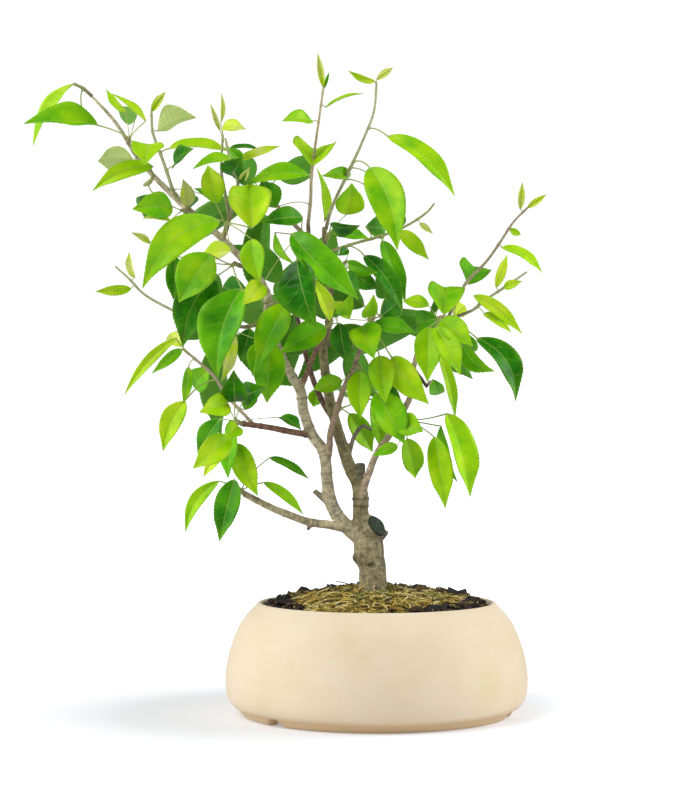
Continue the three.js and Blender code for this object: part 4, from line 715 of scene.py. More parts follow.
# %% Bark
bark, tree, place = new_material("pear bark, smooth when young")
# The tint holds each limb's colour with the bark's painted light and shade on it.
limb_tint = add_node(tree, "ShaderNodeAttribute", attribute_name="tint")
way_mark = add_node(tree, "ShaderNodeAttribute", attribute_name="way")
mottle = add_node(tree, "ShaderNodeTexNoise", {
    "Vector": place, "Scale": grains(3.8), "Detail": 5.0, "Roughness": 0.65})
broad = add_node(tree, "ShaderNodeTexNoise", {"Vector": place, "Scale": grains(16.7), "Detail": 3.0})
flecks = add_node(tree, "ShaderNodeTexVoronoi", {"Vector": place, "Scale": grains(2.8)})
light = add_node(tree, "ShaderNodeMapRange", {
    "Value": mottle, "From Min": 0.32, "From Max": 0.68, "To Min": 0.5, "To Max": 1.62})
shaded = add_node(tree, "ShaderNodeVectorMath", {0: limb_tint, "Scale": light}, operation="SCALE")
# The mark of the way is in mm, so this pattern has a ring every 2 mm along the limb
rings = add_node(tree, "ShaderNodeTexNoise", {
    "W": way_mark.outputs["Fac"], "Scale": 0.5, "Detail": 3.0}, noise_dimensions="1D")
ring_share = add_node(tree, "ShaderNodeMapRange", {
    "Value": rings, "From Min": 0.56, "From Max": 0.7, "To Max": 0.36})
ringed = add_node(tree, "ShaderNodeMixRGB", {
    "Fac": ring_share, "Color1": shaded, "Color2": hex_colour("#554A38")})
moss_share = add_node(tree, "ShaderNodeMapRange", {
    "Value": broad, "From Min": 0.54, "From Max": 0.74, "To Max": 0.35})
mossed = add_node(tree, "ShaderNodeMixRGB", {
    "Fac": moss_share, "Color1": ringed, "Color2": hex_colour("#7F7A42")})
fleck_share = add_node(tree, "ShaderNodeMapRange", {
    "Value": flecks, "From Min": 0.2, "From Max": 0.1, "To Max": 0.6})
flecked = add_node(tree, "ShaderNodeMixRGB", {
    "Fac": fleck_share, "Color1": mossed, "Color2": hex_colour("#D2C4A4")})
bump = add_node(tree, "ShaderNodeBump", {"Height": mottle, "Strength": 0.9, "Distance": 0.001})
surface = add_node(tree, "ShaderNodeBsdfPrincipled", {
    "Base Color": flecked, "Roughness": 0.75, "Normal": bump})
add_node(tree, "ShaderNodeOutputMaterial", {"Surface": surface})
add_piece(melted, [bark], "bark", "wood")

# %% [markdown]
# Wound paste
#
# A branch was sawn off the trunk, and the wound is sealed with a dark grey-green rubbery paste. It lies on
# the sawn face as a thin pad with a raised lip and a few crumbs where it ran over the edge.

# %% Paste
PASTE_RINGS = 12
PASTE_SIDES = 40


def paste_points():
    """A pad on the sawn face, as rings round its middle: it rises over an elliptic lip and dips inside it."""
    side = unit(np.cross(CUT_FACING, (0.0, 0.0, 1.0)))
    up = np.cross(side, CUT_FACING)
    share = np.linspace(1, 0.06, PASTE_RINGS)[:, None]
    turn = (2 * np.pi * np.arange(PASTE_SIDES) / PASTE_SIDES)[None, :]
    wide = 7.3 + 0.35 * np.sin(3 * turn + 1) + 0.25 * np.sin(5 * turn)
    tall = 8.6 + 0.4 * np.sin(2 * turn)
    x, y = share * wide * np.cos(turn), share * tall * np.sin(turn)
    rise = 0.25 + 1.1 * np.clip((1 - share) / 0.12, 0, 1) - 0.6 * np.clip((0.86 - share) / 0.4, 0, 1)
    points = CUT_MIDDLE - 0.9 * up - 0.4 * side + x[..., None] * -side + y[..., None] * up
    lumps = 0.22 * lattice_noise(points, 1.4, 8) + 0.2 * lattice_noise(points, 3.0, 9)
    return points + (rise + lumps * (share < 0.99))[..., None] * CUT_FACING


pad = paste_points()
skirt = pad[:1] - 1.2 * CUT_FACING
paste = Pile()
paste.add(*closed(np.concatenate([skirt, pad])))

rubber, tree, place = new_material("wound paste, rubbery sealant")
grain = add_node(tree, "ShaderNodeTexNoise", {"Vector": place, "Scale": grains(2), "Detail": 4.0})
ramp = add_node(tree, "ShaderNodeValToRGB", {"Fac": grain}, stops=((0.35, "#1E2A20"), (0.7, "#41503E")))
bump = add_node(tree, "ShaderNodeBump", {"Height": grain, "Strength": 0.4, "Distance": 0.0005})
surface = add_node(tree, "ShaderNodeBsdfPrincipled", {
    "Base Color": ramp, "Roughness": 0.6, "Specular IOR Level": 0.3, "Normal": bump})
add_node(tree, "ShaderNodeOutputMaterial", {"Surface": surface})
add_piece(paste.mesh("wound_paste"), [rubber], "paste", "cut_paste")

# %% [markdown]
# Leaves
#
# A pear leaf is a thin, stiff blade with a sunken rib, finely toothed edges and a long stalk. A leaf could
# be a flat card with a picture on it, but seen from the side or the back a card gives itself away. Here each
# leaf is one closed skin: rings of eighteen points run up the round stalk, then flatten into the blade, nine
# points on its upper face and nine beneath. Every leaf of the front follows the photograph: where its base
# and tip are seen, how wide it is, and how it is turned, folded and arched.

# %% The blade's form
# Points of a ring: how far across as a share of the half width, whether beneath, and the turn on the stalk
COLUMNS = np.array([1, 0.76, 0.42, 0.1, 0, -0.1, -0.42, -0.76, -1])
AROUND = np.concatenate([COLUMNS, COLUMNS[::-1]])
UNDER = np.repeat([0.0, 1.0], len(COLUMNS))
OVER_TURN = 0.12 + (np.pi - 0.24) * np.arccos(COLUMNS) / np.pi
STALK_TURN = np.concatenate([OVER_TURN, 2 * np.pi - OVER_TURN[::-1]])
HALF_THICK = 0.2
NARROWEST = 0.12
TOOTH_EVERY = 2.3
TOOTH_DEEP = 0.38
BLADE, SHOOT = 0, 1
VEINS = 9
VEIN_LEAN = 0.7


def leaf(base, tip, width, roll=0, fold=24, arch=0.08, bow=0, tone=0.5):
    """A leaf from base to tip, both as seen. Width is its full width laid flat; roll turns it about its
    length, fold raises each half (degrees); arch bends the rib out of the blade and bow bends it sideways,
    as shares of the length; tone runs from 0, dark and glossy, to 1, pale yellow-green."""
    return dict(base=base, tip=tip, width=width, roll=roll, fold=fold, arch=arch, bow=bow, tone=tone)


def leaf_axes(shape):
    """Start, along, out of the upper face, side, and length."""
    start, tip = seen(shape["base"]), seen(shape["tip"])
    length = np.linalg.norm(tip - start)
    along = (tip - start) / length
    facing = unit(np.array([0.0, -1.0, 0.0]) + along * along[1])
    turn = math.radians(shape["roll"])
    out = facing * math.cos(turn) + np.cross(along, facing) * math.sin(turn)
    return start, along, out, np.cross(out, along), length


def outline(t):
    """Share of the half width: sin(pi t^0.78)^0.75, round below the middle, drawn in towards the tip."""
    body = np.sin(np.pi * np.clip(t, 0, 1) ** 0.78) ** 0.75
    return body * (1 - 0.45 * np.clip((t - 0.7) / 0.3, 0, 1))


def half_width(width, t):
    """Half the width in mm, which stays open at both ends of the blade."""
    return np.maximum(width / 2 * outline(t), NARROWEST)


def blade_points(shape, axes, t, teeth):
    """Rings of the blade. Along the rib the leaf arches and bows as 4t(1-t); across, each half lifts by the
    fold, rolls down a little at the margin, waves, and swells between its veins. Every second ring's edge is
    drawn in and back, which leaves a tooth between."""
    start, along, out, side, length = axes
    width, fold = shape["width"], math.radians(shape["fold"])
    t = t[:, None]
    s = AROUND[None, :]
    size = np.abs(s)
    upper = 1 - 2 * UNDER[None, :]
    half = half_width(width, t)
    hump = 4 * t * (1 - t)
    notch = teeth[:, None] * (size > 0.99) * TOOTH_DEEP * np.clip(half / 4, 0, 1)
    off = s * half - np.sign(s) * notch
    phase = vein_phase(length, width, t, s, half)
    lift = np.abs(off) * math.sin(fold) * (0.55 + 0.45 * size) - 0.05 * half * size ** 4
    wave = 0.05 * width * s ** 2 * np.sin(9 * t + 1.5 * s) * outline(t)
    swell = 0.012 * width * np.cos(2 * np.pi * phase) * size * (1 - size) * 4 * np.clip(half / 5, 0, 1)
    skin_half = HALF_THICK * (1 - 0.65 * size ** 6)
    ridge = (0.45 * UNDER * (1 - t) ** 0.7 - 0.12 * (1 - UNDER)) * (size < 0.05)
    skins = upper * (skin_half + ridge * UNDER) + ridge * (1 - UNDER)
    rise = shape["arch"] * length * hump + lift + wave + swell + skins
    across = off * math.cos(fold) + shape["bow"] * length * hump
    forth = length * t - 0.5 * notch
    return start + forth[..., None] * along + across[..., None] * side + rise[..., None] * out


def vein_phase(length, width, t, s, half):
    """Which vein a point lies near: veins leave the rib every ninth of the length, those of one side half a
    step after the other's, and lean forward by 0.7 of the way out."""
    return (t * length - VEIN_LEAN * np.abs(s) * half) / (length / VEINS) + 0.5 * (s < 0)


SHORT_STEM = 22


def along_line(line, way, at):
    """The place on a line that lies so far along it."""
    return np.array([np.interp(at, way, line[:, k]) for k in range(3)])


def stalk_line(axes, stems):
    """The stalk leaves the nearest place on a stem, follows the stem a little and bends to the leaf:
    a quadratic curve, (1-u)^2 start + 2u(1-u) elbow + u^2 end."""
    end = axes[0]
    distance = np.inf
    for line, way in stems:
        first = 0.55 if way[-1] < SHORT_STEM else 0.15
        for at in np.linspace(first, 0.94, 21) * way[-1]:
            foot = along_line(line, way, at)
            if np.linalg.norm(foot - end) < distance:
                distance, place = np.linalg.norm(foot - end), foot
                heading = unit(along_line(line, way, at + 0.5) - along_line(line, way, at - 0.5))
    place = place + 0.35 * unit(end - place)
    elbow = place + 0.3 * distance * heading
    elbow = elbow + 0.35 * (end - elbow)
    count = int(np.clip(distance / 2.5, 5, 16))
    u = np.linspace(0, 1, count)[:, None]
    return (1 - u) ** 2 * place + 2 * u * (1 - u) * elbow + u ** 2 * end


def stalk_rings(line, axes, radii):
    """Round rings from the stem to the blade, whose side settles into the blade's own."""
    along = unit(np.gradient(line, axis=0))
    along[-1] = unit(along[-1] + axes[1])
    sides = [axes[3]]
    for way in along[::-1]:
        side = sides[-1] - way * sides[-1].dot(way)
        sides.append(side / np.linalg.norm(side))
    sides = np.array(sides[:0:-1])
    outward = np.cross(along, sides)
    turn = STALK_TURN[None, :, None]
    spokes = np.cos(turn) * sides[:, None] + np.sin(turn) * outward[:, None]
    return line[:, None] + radii[:, None, None] * spokes


def add_leaf(pile, shape, stems):
    """One closed leaf with its stalk. Marks: rib, mm from the rib; vein, its phase; rim, share of the way to
    the edge; reach, share of the length; under, 1 beneath; stalk, 1 on the stalk; tone. Gives the stalk's
    foot."""
    axes = leaf_axes(shape)
    length, width = axes[4], shape["width"]
    line = stalk_line(axes, stems)
    u = np.linspace(0, 1, len(line))
    slim = np.clip(length / 40, 0.55, 1)
    radii = slim * (0.5 + 0.4 * np.exp(-(u / 0.12) ** 2) + 0.12 * u ** 4)
    stalk = stalk_rings(line, axes, radii)
    pairs = int(np.clip(length / TOOTH_EVERY, 5, 24))
    t = np.sort(np.concatenate([[0.005, 0.02], np.linspace(0, 1, 2 * pairs + 1)[1:-1], [0.992]]))
    teeth = np.arange(len(t)) % 2 * ((t > 0.04) & (t < 0.985))
    rings = np.concatenate([stalk, blade_points(shape, axes, t, teeth)])
    poles = [line[0], axes[0] + axes[1] * length]
    n = len(stalk)
    half = np.concatenate([np.full(n, 0.5), half_width(width, t)])[:, None]
    reach = np.concatenate([np.zeros(n), t])[:, None]
    s = AROUND[None, :]
    marks = {
        "rib": np.abs(s) * half, "rim": np.abs(s) + 0 * half, "reach": reach + 0 * s,
        "vein": vein_phase(length, width, reach, s, half),
        "under": UNDER[None, :] + 0 * half,
        "stalk": np.concatenate([np.ones(n), np.clip(1 - t / 0.03, 0, 1)])[:, None] + 0 * s}
    ends = {
        "rib": (0, 0), "rim": (0, 1), "reach": (0, 1), "vein": (0, VEINS), "under": (0, 0), "stalk": (1, 0)}
    flat = {key: np.append(value.ravel(), ends[key]) for key, value in marks.items()}
    pile.add(*closed(rings, poles), BLADE, tone=shape["tone"], tint=(0, 0, 0, 1), **flat)
    return line[0]


print("half width of a blade 20 mm wide, mm:", half_width(20, np.linspace(0, 1, 5)).round(1))

# %% [markdown]
# Shoots
#
# Each spray has one or two shoots, and they carry the stalks. A shoot swells a little at the foot of each
# stalk, and its colour goes from last year's brown to this year's green. The sprays with the youngest leaves
# are listed apart, and those leaves are softer and paler.

# %% Stems
STEM_STEP = 1.3
STEM_SIDES = 10
OLD_SHOOT = "#84745A"
YOUNG_SHOOT = "#AEB070"
SHOOT_TINTS = {
    "left_hanging_shoot": "#BAA88C", "left_rising_shoot": "#B9BC8C", "twin_rising_shoots": "#B4B886",
    "left_reaching_shoot": "#B4B488", "high_left_shoot": "#BDB08A", "high_right_shoot": "#BAB98E",
    "right_high_shoot": "#A99B78", "right_mid_shoot": "#ABAC80"}


def add_stem(pile, stations, feet, tint):
    """A shoot: a tube through its stations that swells where stalks leave it, by a bell round each foot, and
    ends in a round bud. Its colour goes from old wood to the young tip."""
    line, radii, way = even_line(stations, STEM_STEP)
    gap = np.linalg.norm(line[:, None] - np.array(feet)[None], axis=-1).min(axis=1)
    radii = radii * 0.86 + 0.3 * np.exp(-(gap / 1.6) ** 2) + 0.06 * np.sin(way * 1.9)
    heading = unit(line[-1] - line[-2])
    cap = radii[-1] * np.array([0.45, 0.8])
    line = np.vstack([line, line[-1] + cap[:, None] * heading])
    radii = np.append(radii, radii[-1] * np.array([0.86, 0.5]))
    rings = tube_rings(line, radii, STEM_SIDES)
    poles = [rings[0].mean(0), line[-1] + 0.3 * radii[-1] * heading]
    share = np.append(np.repeat(np.linspace(0, 1, len(line)), STEM_SIDES), [0, 1])
    share = np.clip(share * way[-1] / 14, 0, 1)[:, None]
    colour = (1 - share) * hex_colour(OLD_SHOOT) + share * hex_colour(tint)
    zeros = dict(rib=0, rim=0, reach=0, vein=0, under=0, stalk=0)
    pile.add(*closed(rings, poles), SHOOT, tone=0.5, tint=colour, **zeros)


def grow_spray(name, stems, leaves, blade_finish, shoot_finish):
    """One spray as one piece: its leaves, then its shoots, which know where the stalks leave them."""
    pile = Pile()
    curves = []
    for stations in stems:
        line, _, way = even_line(stations, 0.5)
        curves.append((line, way))
    feet = [add_leaf(pile, shape, curves) for shape in leaves]
    for stations in stems:
        add_stem(pile, stations, feet, SHOOT_TINTS.get(name, YOUNG_SHOOT))
    slot = "young_leaf" if name in YOUNG_SPRAYS else "leaf"
    add_piece(pile.mesh("grown_" + name), [blade_finish, shoot_finish], slot, name)


print("shoots with a colour of their own:", len(SHOOT_TINTS))

# %% [markdown]
# The front of the crown
#
# These tables were read off the photograph, one spray after another. A stem's stations are across, up, depth
# and radius. A leaf has its base and tip as they are seen, then its width, then how it is turned and bent,
# and last its tone.

# %% The sprays of the front, as the photograph shows them
YOUNG_SPRAYS = {
    "left_rising_shoot", "twin_rising_shoots", "left_reaching_shoot", "left_hanging_shoot", "high_left_shoot",
    "high_right_shoot", "right_high_shoot", "right_mid_shoot", "right_end_spray", "left_tip_spray"}
SPRAYS = {
    "left_tip_spray": ([
        [(-207, 449, -8, 1.5), (-214, 455, -9, 1.4), (-220, 458, -10, 1.1)],
    ], [
        leaf((-221, 458, -10), (-250, 413, -20), 17, roll=45, fold=30, arch=0.06, bow=-0.04, tone=0.65),
        leaf((-214, 437, 2), (-228, 434, 38), 11, roll=10, tone=0.3),
    ]),
    "left_high_spray": ([
        [(-181, 415, -11, 1.7), (-180, 417, -18, 1.5), (-180, 419, -22, 1.2)],
    ], [
        leaf((-203, 428, -22), (-257, 429, -34), 29, roll=45, fold=32, arch=0.07),
        leaf((-182.5, 438, -22), (-197, 454.5, -24), 10, roll=-50, arch=0.04, tone=0.7),
        leaf((-168, 431, -24), (-193, 451, -30), 12, roll=62, arch=0.03, tone=0.72),
        leaf((-176, 431.5, -4), (-189.5, 442, 12), 13, roll=170, fold=10, tone=0.4),
    ]),
    "left_knuckle_spray": ([
        [(-166, 397, -12, 1.8), (-168, 400, -20, 1.6), (-169, 402, -26, 1.3)],
        [(-168, 400, -20, 1.5), (-163, 392, -19, 1.1), (-165, 387, -18, 2), (-169, 384.5, -18, 1.5)],
    ], [
        leaf((-178, 404, -14), (-203, 402, -22), 20, roll=170, fold=15, tone=0.9),
        leaf((-163, 398, -26), (-207, 380, -36), 15, roll=-10, fold=34, bow=-0.12, tone=0.75),
        leaf((-165, 414, -34), (-169, 399, -66), 25, fold=20, tone=0.7),
        leaf((-160, 376, -10), (-172, 366, 24), 18, roll=-10, tone=0.15),
    ]),
    "left_rising_shoot": ([
        [(-143, 372, -16, 1.6), (-148, 380, -15, 1.5), (-152, 392, -14, 1.4), (-158, 409, -13, 1.3),
            (-163, 423, -12, 1.2), (-164, 439, -12, 1)],
    ], [
        leaf((-163.5, 438, -12), (-153.5, 452.5, -12), 10, fold=52, arch=0.1, tone=0.95),
        leaf((-159, 424, -11), (-131, 433.5, -2), 27, roll=-125, fold=30, arch=0.12, tone=0.9),
        leaf((-151, 411, -14), (-105, 408, -6), 16, roll=-50, fold=30, arch=0.08, tone=0.75),
        leaf((-147, 399, -20), (-133, 411, -50), 17, roll=-35, tone=0.15),
        leaf((-142, 372, 4), (-136, 368, 40), 20, roll=10, tone=0.2),
        leaf((-137.5, 369, -20), (-141, 389, -26), 13, roll=20, fold=30, tone=0.95),
        leaf((-114, 372, -10), (-133, 382, -4), 9, roll=30, tone=0.4),
    ]),
    "left_low_spray": ([
        [(-136, 366, -18, 1.8), (-139, 366, -25, 1.6), (-142, 366, -30, 1.3)],
    ], [
        leaf((-149, 369, -32), (-178, 367, -50), 22, roll=6),
        leaf((-150, 358, -24), (-171, 360, -30), 9, roll=35, fold=45, tone=0.9),
        leaf((-140, 360, 4), (-152, 342, 38), 22, roll=-12, tone=0.15),
        leaf((-165, 342, -20), (-179, 350, -24), 7, roll=20, fold=40, tone=0.95),
    ]),
    "twin_rising_shoots": ([
        [(-107, 360, -23, 1.7), (-104, 374, -23, 1.4), (-101, 387, -22, 1.3), (-106, 400, -21, 1.2),
            (-110, 418, -20, 1)],
        [(-107, 360, -23, 1.7), (-110, 377, -20, 1.3), (-113, 394, -19, 1.2), (-112, 421, -18, 1)],
    ], [
        leaf((-105, 391, -14), (-98, 405, -36), 24, tone=0.15),
        leaf((-114, 424, -19), (-121, 444, -22), 6, fold=50, tone=0.95),
        leaf((-113.5, 430, -18), (-113.5, 452, -14), 6, fold=50, roll=30, tone=0.95),
        leaf((-112, 427, -22), (-95, 425, -34), 12, roll=-20, arch=0.1, tone=0.9),
        leaf((-107, 411, -18), (-84, 409.5, -2), 7, roll=-50, tone=0.2),
        leaf((-102, 402, -16), (-70, 413, -8), 8, roll=-20, arch=0.04, tone=0.85),
        leaf((-105, 404, -32), (-134, 396, -46), 13, roll=45, tone=0.55),
        leaf((-99, 388.5, -25), (-92.5, 397.5, -33), 8, roll=20, fold=40, tone=0.95),
        leaf((-98, 401, -26), (-108, 412, -30), 10, roll=10, tone=0.45),
    ]),
    "left_heart_spray": ([
        [(-109.5, 353, -22, 1.8), (-110, 355, -31, 1.6), (-109, 357, -37, 1.3)],
    ], [
        leaf((-91, 353, -44), (-93, 385, -22), 42, fold=42, roll=4, tone=0.74),
        leaf((-115, 359, -50), (-170.5, 309, -66), 27, roll=-5, bow=-0.15, tone=0.58),
        leaf((-91, 345, -42), (-85, 313, -48), 20, roll=15, tone=0.6),
        leaf((-117, 371, -25), (-123, 399, -20), 19, roll=10, tone=0.7),
        leaf((-106, 337, -31), (-127, 333, -16), 16, roll=20, tone=0.9),
    ]),
    "left_front_spray": ([
        [(-103, 327, -28, 1.8), (-104, 327, -34, 1.6), (-105, 326, -38, 1.4)],
    ], [
        leaf((-121, 334, -42), (-144, 299, -46), 31, roll=8, tone=0.55),
        leaf((-118, 317, -34), (-141, 267, -34), 31, roll=-5, bow=-0.11, tone=0.2),
        leaf((-147, 333, -30), (-148, 301, -24), 15, roll=-10, tone=0.3),
        leaf((-98, 309, -50), (-116, 244, -60), 38, roll=22, bow=-0.06, fold=30, tone=0.35),
    ]),
    "left_reaching_shoot": ([
        [(-95, 281, -22, 1.6), (-115, 283, -16, 1.3), (-135, 287, -12, 1.2), (-150, 294, -10, 1.2),
            (-170, 305.5, -8, 1.1), (-180, 316, -8, 1), (-190, 325, -8, 0.8)],
    ], [
        leaf((-176, 317, -8), (-180, 336, -10), 9, roll=-30, fold=40, tone=0.9),
        leaf((-179, 309, -9), (-205, 307, -18), 9, roll=-12, fold=25, arch=0.03, tone=0.8),
        leaf((-106, 279, -30), (-113, 241, -40), 13, roll=-40, tone=0.9),
        leaf((-92, 280, -10), (-99, 256, -2), 19, roll=-10, tone=0.25),
        leaf((-84, 271, -26), (-90, 245, -34), 14, roll=28),
    ]),
    "left_hanging_shoot": ([
        [(-90, 210.5, -17.5, 1.7), (-98, 219, -8, 1.4), (-109, 231, -4, 1.3), (-119, 246, -3, 1.3),
            (-130, 256, -4, 1.2), (-141, 265, -4, 1)],
    ], [
        leaf((-146, 273, -6), (-184, 231, -16), 9, roll=5, bow=-0.05, tone=0.75),
        leaf((-142, 265, -8), (-164, 247, -24), 9),
        leaf((-141, 267, 0), (-151, 276, 20), 13, roll=10, tone=0.85),
        leaf((-137, 252, -12), (-141, 225, -18), 9, roll=-20, tone=0.55),
        leaf((-140, 227, -16), (-155.5, 190.5, -28), 18, roll=5, bow=-0.06, tone=0.75),
        leaf((-122, 250, 4), (-133, 237, 26), 20, roll=10, tone=0.45),
        leaf((-96, 221, 2), (-93, 234, 24), 15, roll=15, tone=0.4),
    ]),
    "lower_left_spray": ([
        [(-98, 210.5, -20, 2.1), (-101, 212, -26, 1.9), (-103, 213, -31, 1.5)],
    ], [
        leaf((-103, 227, -38), (-104, 250, -64), 21, tone=0.15),
        leaf((-95, 231, -34), (-80, 237, -58), 19, roll=-10, arch=0.12, tone=0.2),
        leaf((-108, 225, -44), (-129, 219, -66), 19, roll=8, tone=0.75),
        leaf((-114, 214, -28), (-130, 188, -16), 17, roll=25, tone=0.25),
        leaf((-107, 201, -40), (-134, 178, -54), 21, tone=0.7),
        leaf((-103, 203, -30), (-108, 171, -32), 17, roll=34),
        leaf((-107, 199, -28), (-126, 172, -22), 13, roll=20, tone=0.8),
        leaf((-101, 209, -38), (-112, 199, -60), 15, tone=0.6),
        leaf((-102, 196, -26), (-86.5, 158, -36), 19, roll=-5, bow=-0.03, tone=0.66),
        leaf((-70, 215.5, -24), (-55, 206, -38), 13, roll=-45, tone=0.2),
    ]),
    "low_branch_spray": ([
        [(-95, 159, -15, 2.3), (-99, 162, -19, 2), (-101, 164, -22, 1.6)],
    ], [
        leaf((-115, 169, -16), (-139, 131, -14), 12, roll=10, bow=-0.13, arch=0.03, tone=0.65),
        leaf((-103.5, 170, -38), (-114.5, 125, -46), 20, roll=6, tone=0.25),
        leaf((-78, 186, -8), (-49, 170, -6), 9, roll=-40, tone=0.35),
        leaf((-82, 168, -16), (-53, 144, -26), 9, roll=-15, bow=0.06, arch=0.03, tone=0.55),
        leaf((-104, 160, -8), (-111, 142, 24), 15, tone=0.3),
    ]),
    "ring_spray": ([
        [(-79, 296, -15, 2), (-76, 298, -23, 1.7), (-74, 299, -27, 1.4)],
    ], [
        leaf((-66, 298, -36), (-87, 252, -48), 25, roll=14),
        leaf((-78, 270, -18), (-80, 226, -18), 26, roll=-8),
        leaf((-94, 304, -14), (-112, 310, 22), 22, tone=0.15),
    ]),
    "twig_end_spray": ([
        [(-36, 278, -15, 1.9), (-34, 282, -20, 1.7), (-33, 284, -24, 1.3)],
    ], [
        leaf((-37, 281, -26), (-70, 262, -34), 22, roll=14, tone=0.45),
        leaf((-27, 284, -20), (-21, 255, -16), 18, roll=18, tone=0.15),
        leaf((-34, 286, -28), (-48, 318, -34), 14, roll=36, tone=0.85),
        leaf((-28, 290, -22), (-18, 306, -36), 13, roll=30, tone=0.6),
    ]),
    "front_centre_spray": ([
        [(-49, 346, -8, 1.8), (-53, 347, -20, 1.6), (-57, 348, -32, 1.3)],
    ], [
        leaf((-62, 349, -42), (-13, 301, -52), 30, roll=-30, bow=-0.09, tone=0.35),
        leaf((-58, 330, -50), (-44, 281, -62), 40, roll=30, fold=30, tone=0.12),
        leaf((-83, 312, -58), (-98, 297, -76), 17, tone=0.75),
        leaf((-74, 350, -30), (-60, 327, -44), 13, roll=60, tone=0.6),
        leaf((-54, 361, -24), (-85, 357, -40), 17, roll=20, tone=0.2),
    ]),
    "high_left_shoot": ([
        [(-50, 355, -12, 1.6), (-48, 375, -10, 1.4), (-47.5, 390, -8, 1.3), (-45, 411, -6, 1.2),
            (-43, 425, -5, 1.1), (-38.5, 457, -4, 0.9)],
    ], [
        leaf((-39, 456, -4), (-43, 481, -6), 8, fold=50, tone=0.9),
        leaf((-37, 441, -4), (-9, 451, 4), 5, roll=-50, fold=45, tone=0.7),
        leaf((-47, 431, -8), (-69, 431, -28), 15, roll=35, tone=0.55),
        leaf((-47, 398, -14), (-45, 410, 16), 42, fold=40, tone=0.65),
        leaf((-50, 392, -10), (-95, 384, -14), 17, roll=30, arch=0.16, tone=0.55),
        leaf((-74, 368, 0), (-84, 388, 6), 20, roll=10, tone=0.25),
        leaf((-38, 455, -4), (-34.5, 467, -4), 4, fold=50),
    ]),
    "high_right_shoot": ([
        [(-37, 352, 12, 1.6), (-33, 367, 12, 1.5), (-20, 395, 10, 1.4), (-10, 417, 8, 1.2),
            (-2, 438, 8, 1.1), (0, 459, 8, 0.9)],
    ], [
        leaf((-1, 460, 8), (-21, 468, 2), 8, roll=-35, fold=40, tone=0.8),
        leaf((0, 461, 8), (12, 470, 12), 8, fold=45, tone=0.9),
        leaf((8, 420, 2), (57, 376, -8), 20, roll=-32, bow=0.06, tone=0.62),
        leaf((-5, 397, -12), (15, 337, -34), 29, roll=8, bow=0.09, tone=0.55),
        leaf((-19, 393, 16), (-40, 391, 0), 11, roll=5, tone=0.6),
        leaf((-38, 358, 18), (-44, 397, 22), 12, roll=54, tone=0.7),
        leaf((0, 388, 18), (12, 374, 46), 18, roll=12, tone=0.25),
        leaf((6, 372, 26), (16, 350, 52), 20, roll=-8, tone=0.2),
    ]),
    "crown_spray": ([
        [(-38, 343, 12, 1.8), (-36, 346, 4, 1.6), (-35, 349, 0, 1.3)],
    ], [
        leaf((-22, 363, -4), (-18, 386, -14), 23, roll=15, fold=20, arch=0.1, tone=0.65),
        leaf((-33, 355, -6), (-12, 355, -28), 14, roll=44, tone=0.15),
        leaf((-31, 349, 0), (-5, 345, -10), 12, roll=-30, tone=0.4),
    ]),
    "upper_right_shoot": ([
        [(-37.5, 335, 12, 1.6), (-16, 342, 26, 1.3), (5, 348, 28, 1.2), (22, 355, 26, 1.1),
            (37, 365, 25, 1), (42, 371, 25, 0.8)],
    ], [
        leaf((17, 351, 22), (38, 330, 14), 13, roll=-6, tone=0.7),
        leaf((31.5, 356.5, 26), (41, 349, 22), 7, fold=45, tone=0.9),
        leaf((-9, 333, 10), (19, 292, -2), 18, roll=-20, bow=0.05, tone=0.2),
        leaf((4, 344, 20), (21, 299, 16), 17, roll=-24, bow=-0.03, tone=0.4),
        leaf((-8, 354, 32), (6, 352, 62), 20, tone=0.3),
    ]),
    "leader_spray": ([
        [(-27, 323, 7, 1.7), (-24, 327, 4, 1.5), (-22, 329, 2, 1.2)],
    ], [
        leaf((-21, 328, -2), (1, 321, -16), 14, roll=36, tone=0.45),
        leaf((-19, 322, 8), (1, 309, 18), 15, roll=16, tone=0.25),
        leaf((-22, 321, -4), (-12, 302, -18), 15, roll=12, tone=0.2),
        leaf((-21, 338, 6), (-28, 333, 0), 8, tone=0.2),
    ]),
    "middle_spray": ([
        [(-2, 291, -2, 1.7), (-5, 288, -10, 1.6), (-5, 286, -16, 1.3)],
    ], [
        leaf((-10, 282, -26), (-2, 258, -52), 26, tone=0.52),
        leaf((2, 260, -26), (6.5, 226, -40), 21, tone=0.65),
        leaf((11, 259, -24), (38, 225, -36), 23, roll=16, tone=0.72),
        leaf((0, 282, -22), (28, 277, -42), 16, roll=-26, tone=0.35),
        leaf((-9, 288, -20), (-2, 305, -32), 13, roll=34, tone=0.65),
        leaf((3, 289, 4), (16, 300, 30), 19, roll=10, tone=0.15),
        leaf((-20, 287, -16), (-32, 300, -12), 14, roll=30, tone=0.8),
    ]),
    "fork_twig_spray": ([
        [(-17, 250, -5, 1.8), (-14, 252, -12, 1.6), (-12, 252, -16, 1.3)],
    ], [
        leaf((-12, 249, -20), (-12, 214, -30), 20, roll=8, tone=0.6),
        leaf((0, 233, -30), (20, 196, -38), 27, roll=-10, tone=0.45),
        leaf((-25, 242, -4), (-46, 236, 2), 15, roll=10),
        leaf((17, 213, -33), (34, 205, -42), 19, tone=0.6),
    ]),
    "fork_back_spray": ([
        [(-31, 217, 4, 1.8), (-28, 220, 10, 1.6), (-26, 222, 14, 1.3)],
    ], [
        leaf((-20, 218, 14), (-3, 190, 20), 18, roll=-15, tone=0.6),
        leaf((-2, 229, 18), (3, 192, 26), 14, roll=-12, tone=0.6),
        leaf((-27, 240, 16), (-28, 236, 46), 20, tone=0.4),
        leaf((-43, 236, 28), (-46, 223, 32), 13),
    ]),
    "right_spur_spray": ([
        [(13, 234, -11, 1.5), (12, 237, -13, 1.4), (11, 239, -15, 1.2)],
    ], [
        leaf((10, 238, -18), (16, 211, -26), 16, roll=24, tone=0.2),
    ]),
    "right_low_spray": ([
